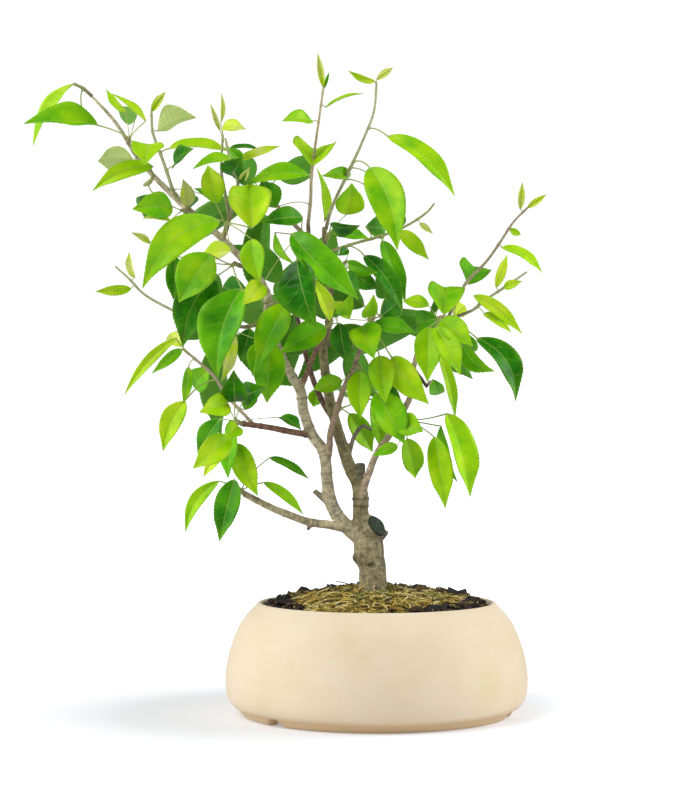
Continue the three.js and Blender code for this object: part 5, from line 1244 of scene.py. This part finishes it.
        [(18, 217, -9, 2), (22, 214, -15, 1.7), (25, 213, -18, 1.4)],
    ], [
        leaf((15, 195, -16), (-3, 187, -26), 10, roll=10, tone=0.6),
        leaf((22, 200, -6), (28, 171, 2), 19, roll=-15, tone=0.62),
        leaf((42, 201, -24), (50, 149, -32), 20, roll=-6, tone=0.68),
        leaf((47, 209, -14), (59, 168, -10), 13, roll=46, tone=0.4),
        leaf((51, 218, -22), (68, 157, -30), 26, roll=-30, fold=32, tone=0.64),
    ]),
    "right_twig_spray": ([
        [(37, 239, -10, 1.4), (38, 240, -6, 1.3), (39, 241, -3, 1.1)],
    ], [
        leaf((41, 243, 0), (45, 232, 22), 13, roll=5, tone=0.4),
    ]),
    "right_spray": ([
        [(44, 286, -15, 2), (45, 286, -22, 1.8), (46, 287, -28, 1.4)],
    ], [
        leaf((49, 290, -34), (50, 310, -8), 36, fold=42, tone=0.55),
        leaf((44, 288, -24), (29, 283, -2), 20, tone=0.35),
        leaf((38, 296.5, -22), (19, 300, -12), 12, roll=25, tone=0.65),
        leaf((38, 281, -34), (37, 241, -46), 22, roll=4, tone=0.54),
        leaf((43, 281, -40), (61, 246, -56), 20, roll=-14, tone=0.65),
        leaf((47, 286, -34), (70, 267, -50), 20, roll=-10, tone=0.6),
        leaf((45, 263, -14), (57, 214, -14), 11, roll=-30, tone=0.65),
    ]),
    "right_end_spray": ([
        [(55, 288, -15, 1.7), (59, 284, -19, 1.5), (62, 282, -21, 1.2)],
    ], [
        leaf((63, 268, -22), (86, 249, -34), 15, roll=26, bow=-0.12),
        leaf((73, 273, -18), (101, 227, -26), 22, roll=-24, bow=0.16, tone=0.2),
        leaf((66, 276, -8), (69, 262, 14), 13, roll=5, tone=0.4),
    ]),
    "right_high_shoot": ([
        [(52, 288, -15, 1.5), (58, 300, -6, 1.4), (65, 313, 0, 1.3), (80, 329, 0, 1.2), (90, 343, 0, 1.1),
            (100, 358, 0, 1), (111, 369, 0, 0.8)],
    ], [
        leaf((104.5, 367, 0), (106, 387, -2), 8, fold=48, tone=0.9),
        leaf((110, 368, 0), (124, 378, -4), 7, fold=45, tone=0.9),
        leaf((91, 339, -2), (121, 320, 4), 12, roll=-40, bow=0.06, tone=0.7),
        leaf((67, 312, 4), (71, 325, 30), 30, fold=36, tone=0.4),
        leaf((97, 353, 0), (105, 348, 4), 6, roll=20, tone=0.7),
        leaf((56, 289, 4), (64, 297, 16), 14, tone=0.9),
    ]),
    "right_mid_shoot": ([
        [(59, 289, -15, 1.4), (70, 293.5, -12, 1.3), (78, 300, -11, 1.2), (93, 310, -11, 1.1),
            (109, 321, -11, 0.8)],
    ], [
        leaf((87, 310, -11), (95, 334, -8), 8, tone=0.85),
        leaf((93, 310, -12), (106, 314.5, -22), 8, roll=-10, tone=0.8),
        leaf((71, 304, -16), (106, 276, -24), 12, roll=-10, bow=0.04, tone=0.75),
        leaf((78, 291, -18), (98, 277, -28), 10, roll=-30, tone=0.8),
    ]),
}
print("sprays of the front:", len(SPRAYS))

# %% [markdown]
# Sprays at the back
#
# The picture doesn't show the back of the crown, so those sprays follow a rule instead: pear leaves stand
# round a twig's end, each turned 2/5 of a round from the one before, and they lean out and droop.

# %% The rule for the back
BACK_SPRAYS = {
    "back_right_spray": ((8, 284, 62), (-0.6, 0.6, 0.7), 4, 80),
    "back_right_inner_spray": ((-20, 273, 28), (-0.6, 0.0, 0.7), 3, 180),
    "back_left_spray": ((-118, 282, 46), (0.2, 0.0, 0.7), 5, 180),
    "back_upright_spray": ((-60, 300, 56), (0.0, 0.4, 0.7), 5, 340),
    "back_far_spray": ((50, 286, 46), (-0.8, 0.2, 0.7), 3, 40),
    "back_top_spray": ((-80, 378, 62), (-0.2, 0.0, 0.7), 4, 120),
}
BACK_LENGTH = 50.0
BACK_WIDTH = 28.0
BACK_STALK = 16.0
BACK_DROOP = 0.3
BACK_TURN = 144


def back_spray(end, heading, count, turn):
    """Leaves round a twig's end: way = axis cos(lean) + outward sin(lean), outward turned 144 degrees on."""
    end, axis = np.array(end, float), unit(np.array(heading, float))
    around = unit(np.cross((0.0, 1.0, 0.0), axis))
    stem = [(*(end + axis * step), radius) for step, radius in ((-1.5, 1.7), (5, 1.5), (10, 1.1))]
    leaves = []
    for i in range(count):
        angle = math.radians(turn + BACK_TURN * i + 10 * (i % 2))
        outward = around * math.cos(angle) + np.cross(axis, around) * math.sin(angle)
        lean = math.radians(62 + 9 * ((2 * i) % 5) - 14)
        way = axis * math.cos(lean) + outward * math.sin(lean)
        start = end + axis * (4 + 1.2 * i) + way * BACK_STALK
        length = BACK_LENGTH * (0.8 + 0.1 * ((3 * i) % 5))
        tip = start + way * length - np.array([0, BACK_DROOP * length, 0])
        leaves.append(leaf(tuple(start), tuple(tip), BACK_WIDTH, roll=150, tone=0.05 + 0.07 * i))
    return [stem], leaves


for name, rule in BACK_SPRAYS.items():
    SPRAYS[name] = back_spray(*rule)
print("sprays:", len(SPRAYS), "leaves:", sum(len(leaves) for _, leaves in SPRAYS.values()))

# %% [markdown]
# Leaf finish
#
# A pear leaf is waxy: dark leaves shine, young ones are paler and duller, and the underside is matt and paler
# still, with a pale bloom on the youngest, whose paleness is partly painted light shining through the thin
# blade. Each blade is also painted paler towards its margin and tip, as light glowing through its thin edges.
# The marks made with the shape carry the rib, the veins and the margin, so they follow each blade however it
# bends.

# %% Leaf finish
blade_finish, tree, place = new_material("pear leaf, waxy above and matt beneath")
tone, rim, rib, reach, vein, under, stalk = (
    add_node(tree, "ShaderNodeAttribute", attribute_name=mark).outputs["Fac"]
    for mark in ("tone", "rim", "rib", "reach", "vein", "under", "stalk"))

mottle = add_node(tree, "ShaderNodeTexNoise", {"Vector": place, "Scale": grains(16.7), "Detail": 3.0})
drift = add_node(tree, "ShaderNodeMapRange", {
    "Value": mottle, "From Min": 0.3, "From Max": 0.7, "To Min": -0.13, "To Max": 0.13})
drifted = add_node(tree, "ShaderNodeMath", {0: tone, 1: drift}, operation="ADD")
ramp = add_node(tree, "ShaderNodeValToRGB", {"Fac": drifted}, stops=(
    (0.0, "#0C5000"), (0.2, "#2B8600"), (0.45, "#6CC400"), (0.7, "#B4E800"), (0.86, "#D6F02C"),
    (1.0, "#E4E690")))

# Painted light: each blade is made paler towards its margin and its tip, as light glowing through its thin
# edges.
edge_glow_share = add_node(tree, "ShaderNodeMapRange", {"Value": rim, "From Min": 0.55, "From Max": 1.0, "To Max": 0.2})
margin = add_node(tree, "ShaderNodeMixRGB", {"Fac": edge_glow_share, "Color1": ramp, "Color2": hex_colour("#90C61A")})
tip_glow_share = add_node(tree, "ShaderNodeMapRange", {
    "Value": reach, "From Min": 0.65, "From Max": 1.0, "To Max": 0.2})
tip_glow = add_node(tree, "ShaderNodeMixRGB", {
    "Fac": tip_glow_share, "Color1": margin, "Color2": hex_colour("#9FCB1E")})
saw = add_node(tree, "ShaderNodeMath", {0: vein, 1: 1.0}, operation="PINGPONG")
near_vein = add_node(tree, "ShaderNodeMapRange", {"Value": saw, "From Min": 0.1, "From Max": 0.02})
inner = add_node(tree, "ShaderNodeMapRange", {"Value": rim, "From Min": 0.9, "From Max": 0.4, "To Max": 0.2})
vein_share = add_node(tree, "ShaderNodeMath", {0: near_vein, 1: inner}, operation="MULTIPLY")
veined = add_node(tree, "ShaderNodeMixRGB", {
    "Fac": vein_share, "Color1": tip_glow, "Color2": hex_colour("#A6D034")})
near_rib = add_node(tree, "ShaderNodeMapRange", {"Value": rib, "From Min": 0.5, "From Max": 0.2})
fading = add_node(tree, "ShaderNodeMapRange", {
    "Value": reach, "From Min": 1.0, "From Max": 0.4, "To Min": 0.1, "To Max": 0.45})
rib_share = add_node(tree, "ShaderNodeMath", {0: near_rib, 1: fading}, operation="MULTIPLY")
ribbed = add_node(tree, "ShaderNodeMixRGB", {
    "Fac": rib_share, "Color1": veined, "Color2": hex_colour("#C8DE74")})
edge_share = add_node(tree, "ShaderNodeMapRange", {
    "Value": rim, "From Min": 0.95, "From Max": 1.0, "To Max": 0.25})
edged = add_node(tree, "ShaderNodeMixRGB", {
    "Fac": edge_share, "Color1": ribbed, "Color2": hex_colour("#C4DA66")})
# The underside is paler in its own colour, and its palest tones, on the young leaves, are painted light
# shining through the thin blade.
paleness = add_node(tree, "ShaderNodeMath", {0: tone, 1: 2.0}, operation="POWER")
pale_underside_and_glow = add_node(tree, "ShaderNodeMixRGB", {
    "Fac": paleness, "Color1": hex_colour("#4C9012"), "Color2": hex_colour("#ECFCB0")})
beneath = add_node(tree, "ShaderNodeMixRGB", {"Fac": 0.8, "Color1": edged, "Color2": pale_underside_and_glow})
sided = add_node(tree, "ShaderNodeMixRGB", {"Fac": under, "Color1": edged, "Color2": beneath})
stalked = add_node(tree, "ShaderNodeMixRGB", {"Fac": stalk, "Color1": sided, "Color2": hex_colour("#B0C46A")})

# A leaf's cells are far finer than this, and are drawn about 1 mm wide so that they show
cells = add_node(tree, "ShaderNodeTexNoise", {"Vector": place, "Scale": grains(1.11), "Detail": 2.0})
sunk = add_node(tree, "ShaderNodeMath", {0: near_vein, 1: -0.5}, operation="MULTIPLY")
sunk_rib = add_node(tree, "ShaderNodeMath", {0: near_rib, 1: -0.7, 2: sunk}, operation="MULTIPLY_ADD")
relief = add_node(tree, "ShaderNodeMath", {0: cells, 1: 0.3, 2: sunk_rib}, operation="MULTIPLY_ADD")
bump = add_node(tree, "ShaderNodeBump", {"Height": relief, "Strength": 0.5, "Distance": 0.0005})
dull = add_node(tree, "ShaderNodeMapRange", {"Value": tone, "To Min": 0.3, "To Max": 0.52})
duller = add_node(tree, "ShaderNodeMath", {0: under, 1: 0.3, 2: dull}, operation="MULTIPLY_ADD")
surface = add_node(tree, "ShaderNodeBsdfPrincipled", {
    "Base Color": stalked, "Roughness": duller, "Normal": bump, "Specular IOR Level": 0.2})
add_node(tree, "ShaderNodeOutputMaterial", {"Surface": surface})
print("leaf finish:", len(tree.nodes), "nodes")

# %% [markdown]
# Shoot finish
#
# Young pear shoots have a smooth skin with small pale pores. Each shoot carries its own tint, from last
# year's brown at its foot to beige green near its end, and the finish only adds the grain and the pores.

# %% Shoot finish
shoot_finish, tree, place = new_material("young pear shoot, smooth skin")
tint = add_node(tree, "ShaderNodeAttribute", attribute_name="tint")
skin_noise = add_node(tree, "ShaderNodeTexNoise", {"Vector": place, "Scale": grains(1.67), "Detail": 3.0})
lift = add_node(tree, "ShaderNodeMapRange", {
    "Value": skin_noise, "From Min": 0.3, "From Max": 0.7, "To Min": 0.78, "To Max": 1.2})
grained = add_node(tree, "ShaderNodeVectorMath", {0: tint, "Scale": lift}, operation="SCALE")
pores = add_node(tree, "ShaderNodeTexVoronoi", {"Vector": place, "Scale": grains(2)})
pore_share = add_node(tree, "ShaderNodeMapRange", {
    "Value": pores, "From Min": 0.14, "From Max": 0.08, "To Max": 0.6})
dotted = add_node(tree, "ShaderNodeMixRGB", {
    "Fac": pore_share, "Color1": grained, "Color2": hex_colour("#DDD5B6")})
bump = add_node(tree, "ShaderNodeBump", {"Height": skin_noise, "Strength": 0.3, "Distance": 0.0004})
surface = add_node(tree, "ShaderNodeBsdfPrincipled", {"Base Color": dotted, "Roughness": 0.5, "Normal": bump})
add_node(tree, "ShaderNodeOutputMaterial", {"Surface": surface})
print("shoot finish:", len(tree.nodes), "nodes")

# %% [markdown]
# Growing
#
# With both finishes made, every spray grows: first its leaves, which look for the nearest place on a shoot
# for their stalks, and then the shoots.

# %% Growing every spray
for name, (stems, leaves) in SPRAYS.items():
    grow_spray(name, stems, leaves, blade_finish, shoot_finish)

# %% [markdown]
# Compost
#
# The bowl is filled to a low mound with dark compost. Its top is a heap of shredded bark, so the surface is
# broken by noise at the size of the shreds, and loose chips lie on it round the edge, where no straw covers
# it. The fill is a closed lathe that follows the inside of the bowl.

# %% Compost
MOUND_HIGH = 90.0
MOUND_DROP = 11.5
MOUND_POWER = 2.6
MOUND_RADIUS = 83.0
SOIL_BELOW = 3.0


def near_rim(radius):
    """Share from 0 at 70 mm from the axis to 1 at 79 mm, where the soil meets the rim."""
    return np.clip((radius - 70) / 9, 0, 1)


def mound_height(radius):
    """Height of the straw's middle line: 90 - 11.5 (r / 83)^2.6, drawn up 1.5 mm where it meets the rim."""
    drawn_up = 1.5 * near_rim(radius)
    return MOUND_HIGH - MOUND_DROP * np.clip(radius / MOUND_RADIUS, 0, 1.1) ** MOUND_POWER + drawn_up


def compost_height(radius):
    """Height of the compost: 3 mm under the straw's line, and 2 mm under it where it meets the rim."""
    return mound_height(radius) - SOIL_BELOW + near_rim(radius)


def lathe(profile_points, sides):
    """Rings of a profile (radius, height) carried round, from its first ring to its last."""
    turn = 2 * np.pi * np.arange(sides) / sides
    radius, height = profile_points[:, :1], profile_points[:, 1:]
    return np.stack([radius * np.cos(turn), radius * np.sin(turn), height + 0 * turn], axis=-1)


def crumbs(points, scale=1.0):
    """Shreds: coarse and fine noise added, with the hollows flattened and the heaps kept."""
    lumps = lattice_noise(points, 6.5, 11) + 0.6 * lattice_noise(points, 3.0, 12)
    return scale * (1.3 * np.clip(lumps, -0.6, 1.4) + 0.5 * lattice_noise(points, 1.5, 13))


SOIL_SIDES = 200
inner_wall = [(34, 12.6), (91, 12.6), (101.0, 24.4), (100.7, 40), (93.6, 58), (84.6, 74)]
heap_radii = np.concatenate([np.linspace(82.2, 30, 42), np.linspace(28, 1, 16)])
heap = np.stack([heap_radii, compost_height(heap_radii)], axis=-1)
fill = lathe(np.vstack([inner_wall, heap]), SOIL_SIDES)
on_top = np.arange(len(fill)) >= len(inner_wall)
rough_top = crumbs(fill * (1, 1, 0)) * np.clip((84 - np.hypot(fill[..., 0], fill[..., 1])) / 3, 0.1, 1)
fill[..., 2] += on_top[:, None] * rough_top
soil = Pile()
soil.add(*closed(fill))

compost, tree, place = new_material("compost of shredded bark")
shreds = add_node(tree, "ShaderNodeTexNoise", {
    "Vector": place, "Scale": grains(3), "Detail": 6.0, "Roughness": 0.7})
patches = add_node(tree, "ShaderNodeTexNoise", {"Vector": place, "Scale": grains(16.7), "Detail": 2.0})
ramp = add_node(tree, "ShaderNodeValToRGB", {"Fac": shreds}, stops=(
    (0.38, "#120E0B"), (0.52, "#2A2118"), (0.62, "#4E4028"), (0.74, "#84743C")))
patch_share = add_node(tree, "ShaderNodeMapRange", {
    "Value": patches, "From Min": 0.52, "From Max": 0.66, "To Max": 0.4})
mossy = add_node(tree, "ShaderNodeMixRGB", {
    "Fac": patch_share, "Color1": ramp, "Color2": hex_colour("#5C6428")})
bump = add_node(tree, "ShaderNodeBump", {"Height": shreds, "Strength": 0.8, "Distance": 0.001})
surface = add_node(tree, "ShaderNodeBsdfPrincipled", {"Base Color": mossy, "Roughness": 0.9, "Normal": bump})
add_node(tree, "ShaderNodeOutputMaterial", {"Surface": surface})
add_piece(soil.mesh("compost_fill"), [compost], "compost", "soil")

# %% [markdown]
# Chips of bark
#
# The loose chips are split bark, flat and broken. A chip is a box whose eight corners are drawn apart by
# chance, so a few hundred of them need only a dozen faces each. Whole arrays turn and place them at once.

# %% Chips
chance = np.random.default_rng(260)
CHIPS = 540
BOX = np.array([[x, y, z] for z in (-1, 1) for y in (-1, 1) for x in (-1, 1)], float)
BOX_FACES = np.array([[0, 2, 3, 1], [4, 5, 7, 6], [0, 1, 5, 4], [2, 6, 7, 3], [0, 4, 6, 2], [1, 3, 7, 5]])


def turned(points, about_z, about_x, about_y):
    """Points of many forms, each form turned about x, then y, then z by its own angles."""
    x, y, z = np.moveaxis(points, -1, 0)
    a, b, c = (turn[:, None] for turn in (about_x, about_y, about_z))
    y, z = y * np.cos(a) - z * np.sin(a), y * np.sin(a) + z * np.cos(a)
    x, z = x * np.cos(b) + z * np.sin(b), z * np.cos(b) - x * np.sin(b)
    x, y = x * np.cos(c) - y * np.sin(c), x * np.sin(c) + y * np.cos(c)
    return np.stack([x, y, z], axis=-1)


def straw_edge(turn):
    """Where the straw ends: 64 - 15 sin a + 6 sin(3a + 1) - 3 cos 5a, and at most 80.5."""
    return np.minimum(64 - 15 * np.sin(turn) + 6 * np.sin(3 * turn + 1) - 3 * np.cos(5 * turn), 80.5)


chip_turn = chance.uniform(0, 2 * np.pi, CHIPS)
# Where the straw comes up to the rim in front there are no chips, so those lie at the back instead
at_straw = (np.sin(chip_turn) < -0.25) & (straw_edge(chip_turn) > 73)
chip_turn = np.where(at_straw, -chip_turn, chip_turn)
inner = np.where(np.sin(chip_turn) > -0.25, 16, straw_edge(chip_turn) - 2)
chip_radius = np.sqrt(chance.uniform(inner ** 2, 78.5 ** 2))
chip_size = chance.gamma(5, 0.42, CHIPS).clip(0.9, 4.2) * np.where(chip_radius > 74, 0.7, 1)
shape = np.stack([chip_size * chance.uniform(1.0, 1.9, CHIPS), chip_size, chip_size * 0.55], axis=-1)
corners = BOX * (1 + chance.uniform(-0.38, 0.2, (CHIPS, 8, 3))) * shape[:, None]
corners = turned(
    corners, chance.uniform(0, 6.3, CHIPS), chance.normal(0, 0.5, CHIPS), chance.normal(0, 0.4, CHIPS))
chip_z = compost_height(chip_radius) + 0.8 + chance.uniform(0, 2.6, CHIPS) * (chip_radius < 75)
middle = np.stack([chip_radius * np.cos(chip_turn), chip_radius * np.sin(chip_turn), chip_z], axis=-1)
chip_tint = np.array([hex_colour(tone) for tone in ("#1B1613", "#2B211A", "#463421", "#66502F", "#6E6838")])
chip_tint = chip_tint[chance.choice(5, CHIPS, p=(0.34, 0.28, 0.2, 0.11, 0.07))]
chips = Pile()
chips.add(corners + middle[:, None], [(BOX_FACES[None] + 8 * np.arange(CHIPS)[:, None, None]).reshape(-1, 4)],
          tint=np.repeat(chip_tint, 8, axis=0))
chips_mesh = chips.mesh("bark_chips")
chips_mesh.shade_flat()

def tinted_finish(name, grain_size, detail, tones, strength, depth, roughness):
    """A finish for many small things, each with a tint of its own: a grain multiplies the tint by a number
    between the two tones, and is raised as fine relief. Grain size and depth are in mm."""
    material, tree, place = new_material(name)
    grain = add_node(tree, "ShaderNodeTexNoise", {
        "Vector": place, "Scale": grains(grain_size), "Detail": detail})
    lift = add_node(tree, "ShaderNodeMapRange", {
        "Value": grain, "From Min": 0.3, "From Max": 0.7, "To Min": tones[0], "To Max": tones[1]})
    tint = add_node(tree, "ShaderNodeAttribute", attribute_name="tint")
    toned = add_node(tree, "ShaderNodeVectorMath", {0: tint, "Scale": lift}, operation="SCALE")
    bump = add_node(tree, "ShaderNodeBump", {"Height": grain, "Strength": strength, "Distance": depth * MM})
    surface = add_node(tree, "ShaderNodeBsdfPrincipled", {
        "Base Color": toned, "Roughness": roughness, "Normal": bump})
    add_node(tree, "ShaderNodeOutputMaterial", {"Surface": surface})
    return material


chip_bark = tinted_finish("composted bark, matt", grain_size=1.43, detail=4.0, tones=(0.6, 1.5),
                          strength=0.7, depth=0.8, roughness=0.85)
add_piece(chips_mesh, [chip_bark], "compost")

# %% [markdown]
# Straw
#
# Chopped straw dresses the front and middle of the soil. It is made as what it is: a thin felt of crumbs
# with some three thousand fibres lying on it in all directions. A fibre is a thin three-sided tube bent
# along a curve, and all fibres are worked out in one set of arrays.

# %% Straw
MAT_RINGS = 34
MAT_SIDES = 180
STRAWS = 3400
STRAW_STEPS = 6
FELT, FIBRE = 0, 1


def straw_felt():
    """A closed mat: its top follows the mound with crumbs on it, its edge wanders, its underside is flat."""
    turn = 2 * np.pi * np.arange(MAT_SIDES) / MAT_SIDES
    share = np.linspace(1, 0.02, MAT_RINGS)[:, None]
    edge = straw_edge(turn)[None, :] - 1.5
    radius = share * edge
    top = np.stack([radius * np.cos(turn), radius * np.sin(turn), 0 * radius], axis=-1)
    top[..., 2] = mound_height(radius) - 0.9 - 1.6 * np.clip((share - 0.9) / 0.1, 0, 1) + crumbs(top, 0.7)
    under = np.stack([edge * np.cos(turn), edge * np.sin(turn), mound_height(edge) - 6], axis=-1)
    rings = np.concatenate([under, top])
    return closed(rings, [(0, 0, 72), rings[-1].mean(0)])


def straws():
    """Rings of every fibre. Along a fibre u runs from -1/2 to 1/2; its path bends as u squared, its height
    follows the mound plus its own level and tilt, and its thickness is a third of a millimetre or so."""
    turn = chance.uniform(0, 2 * np.pi, STRAWS)
    front = np.sin(turn) < 0.3
    keep_in = np.where(front, straw_edge(turn) + 1, 0.62 * straw_edge(turn))
    radius = keep_in * chance.uniform(0.02, 1, STRAWS) ** np.where(front, 0.42, 0.5)
    heading = chance.uniform(0, 2 * np.pi, STRAWS)
    length = chance.gamma(4, 2.4, STRAWS).clip(4, 26)
    bend = chance.normal(0, 0.55, STRAWS)
    u = np.linspace(-0.5, 0.5, STRAW_STEPS)[None, :]
    forth = length[:, None] * u
    aside = length[:, None] * bend[:, None] * (u ** 2 - 0.08)
    x = (radius * np.cos(turn))[:, None] + forth * np.cos(heading)[:, None] - aside * np.sin(heading)[:, None]
    y = (radius * np.sin(turn))[:, None] + forth * np.sin(heading)[:, None] + aside * np.cos(heading)[:, None]
    reach = np.hypot(x, y)
    pull = np.minimum(1, 81.2 / np.maximum(reach, 1e-6))
    x, y = x * pull, y * pull
    level = chance.uniform(-1.6, 1.5, STRAWS)
    tilt = chance.normal(0, 0.22, STRAWS)
    z = mound_height(np.hypot(x, y)) + level[:, None] + forth * tilt[:, None]
    z = z - 5 * abs(bend[:, None]) * u ** 2
    centre = np.stack([x, y, z], axis=-1)
    thick = chance.gamma(6, 0.078, STRAWS).clip(0.2, 0.95)[:, None] * (1 - 1.2 * u ** 2)
    along = unit(np.gradient(centre, axis=1))
    aside_way = unit(np.cross(along, (0.0, 0.0, 1.0)))
    outward = np.cross(along, aside_way)
    corner = 2 * np.pi * np.arange(3) / 3
    spokes = np.cos(corner)[:, None] * aside_way[:, :, None] + np.sin(corner)[:, None] * outward[:, :, None]
    return centre[:, :, None] + thick[..., None, None] * spokes


STRAW_TONES = ("#CDB052", "#B09236", "#EBDC9A", "#8C6A22", "#6E6622", "#3C2F1C", "#8A8C30")
fibres = straws()
wall = skin_faces(STRAW_STEPS, 3)[0]
fibre_ends = np.array([[0, 2, 1], [3 * STRAW_STEPS - 3, 3 * STRAW_STEPS - 2, 3 * STRAW_STEPS - 1]])
step = 3 * STRAW_STEPS * np.arange(STRAWS)[:, None, None]
tones = np.array([hex_colour(tone) for tone in STRAW_TONES])
tones = tones[chance.choice(7, STRAWS, p=(0.25, 0.2, 0.17, 0.1, 0.1, 0.1, 0.08))]
# The straw lies thickest in front, and further back its colour is darker
further_back = np.clip(fibres[:, 0, 0, 1] / 60, -1, 1)
tones[:, :3] *= (0.88 - 0.3 * further_back)[:, None]
straw = Pile()
straw.add(*straw_felt(), FELT, tint=hex_colour("#4A3D22"))
straw.add(fibres, [(wall[None] + step).reshape(-1, 4), (fibre_ends[None] + step).reshape(-1, 3)], FIBRE,
          tint=np.repeat(tones, 3 * STRAW_STEPS, axis=0))

UPRIGHT_STRAWS = [
    [(-1, 83, -17, 0.5), (-1.8, 88, -16.5, 0.45), (-2.2, 93, -16, 0.3)],
    [(7, 83, -18, 0.5), (4, 86, -18, 0.45), (1, 89, -17.5, 0.3)],
    [(-40, 84, -34, 0.5), (-31, 88, -36, 0.45), (-23, 87, -37, 0.3)],
]
for stations in UPRIGHT_STRAWS:
    line, radii, _ = even_line(stations, 1.5)
    rings = tube_rings(line, radii, 5)
    straw.add(*closed(rings, [line[0], line[-1]]), FIBRE, tint=hex_colour("#E3D596"))

felt, tree, place = new_material("straw dust and crumbs")
shreds = add_node(tree, "ShaderNodeTexNoise", {
    "Vector": place, "Scale": grains(2.6), "Detail": 6.0, "Roughness": 0.75})
ramp = add_node(tree, "ShaderNodeValToRGB", {"Fac": shreds}, stops=(
    (0.4, "#18120A"), (0.54, "#4E3F1E"), (0.68, "#9C8440")))
bump = add_node(tree, "ShaderNodeBump", {"Height": shreds, "Strength": 0.8, "Distance": 0.001})
surface = add_node(tree, "ShaderNodeBsdfPrincipled", {"Base Color": ramp, "Roughness": 0.9, "Normal": bump})
add_node(tree, "ShaderNodeOutputMaterial", {"Surface": surface})

stalk_straw = tinted_finish("chopped straw, dry and slightly glossy", grain_size=2.2, detail=3.0,
                            tones=(0.7, 1.2), strength=0.3, depth=0.3, roughness=0.5)
add_piece(straw.mesh("chopped_straw"), [felt, stalk_straw], "straw", "straw_dressing")

# %% [markdown]
# Moss
#
# A little moss grows round the foot of the trunk. It is hundreds of tiny pointed leaves, each a spike of
# three sides, standing up out of the soil in loose tufts.

# %% Moss
MOSS = 900
TUFTS = 16
tuft = chance.integers(0, TUFTS, MOSS)
tuft_turn = chance.uniform(0, 2 * np.pi, TUFTS)
tuft_radius = chance.uniform(15, 40, TUFTS)
x = (tuft_radius * np.cos(tuft_turn))[tuft] + chance.normal(0, 2.6, MOSS)
y = (tuft_radius * np.sin(tuft_turn))[tuft] + chance.normal(0, 2.6, MOSS)
foot = np.stack([x, y, mound_height(np.hypot(x, y)) - 1.5], axis=-1)
lean = np.stack([chance.normal(0, 0.5, MOSS), chance.normal(0, 0.5, MOSS), np.ones(MOSS)], axis=-1)
spike_tip = foot + unit(lean) * chance.uniform(2.0, 4.2, MOSS)[:, None]
corner = 2 * np.pi * np.arange(3) / 3 + 1
base_ring = foot[:, None] + 0.42 * np.stack([np.cos(corner), np.sin(corner), 0 * corner], axis=-1)
spikes = np.concatenate([base_ring, spike_tip[:, None]], axis=1)
spike_faces = np.array([[0, 2, 1], [0, 1, 3], [1, 2, 3], [2, 0, 3]])
moss = Pile()
moss.add(spikes, [(spike_faces[None] + 4 * np.arange(MOSS)[:, None, None]).reshape(-1, 3)])

moss_finish, tree, place = new_material("cushion moss")
shade = add_node(tree, "ShaderNodeTexNoise", {"Vector": place, "Scale": grains(4.2), "Detail": 3.0})
share = add_node(tree, "ShaderNodeMapRange", {"Value": shade, "From Min": 0.35, "From Max": 0.65})
green = add_node(tree, "ShaderNodeMixRGB", {
    "Fac": share, "Color1": hex_colour("#4E6A14"), "Color2": hex_colour("#9BB04A")})
surface = add_node(tree, "ShaderNodeBsdfPrincipled", {"Base Color": green, "Roughness": 0.8})
add_node(tree, "ShaderNodeOutputMaterial", {"Surface": surface})
add_piece(moss.mesh("moss_tufts"), [moss_finish], "compost")

# %% [markdown]
# Drain netting
#
# A square of nylon netting keeps the soil off the drain hole. The solid model already has its shape, so it
# stays, and only gets its finish: black nylon, moulded, with a soft shine.

# %% Drain netting
netting, tree, place = new_material("moulded nylon netting, black")
scuff = add_node(tree, "ShaderNodeTexNoise", {"Vector": place, "Scale": grains(3.8), "Detail": 4.0})
share = add_node(tree, "ShaderNodeMapRange", {"Value": scuff, "From Min": 0.4, "From Max": 0.7})
black = add_node(tree, "ShaderNodeMixRGB", {
    "Fac": share, "Color1": hex_colour("#1C1F22"), "Color2": hex_colour("#34393D")})
bump = add_node(tree, "ShaderNodeBump", {"Height": scuff, "Strength": 0.2, "Distance": 0.0003})
surface = add_node(tree, "ShaderNodeBsdfPrincipled", {
    "Base Color": black, "Roughness": 0.45, "IOR": 1.53, "Normal": bump})
add_node(tree, "ShaderNodeOutputMaterial", {"Surface": surface})
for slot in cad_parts["drain_mesh"].material_slots:
    slot.material = netting
print("netting finish:", len(tree.nodes), "nodes")
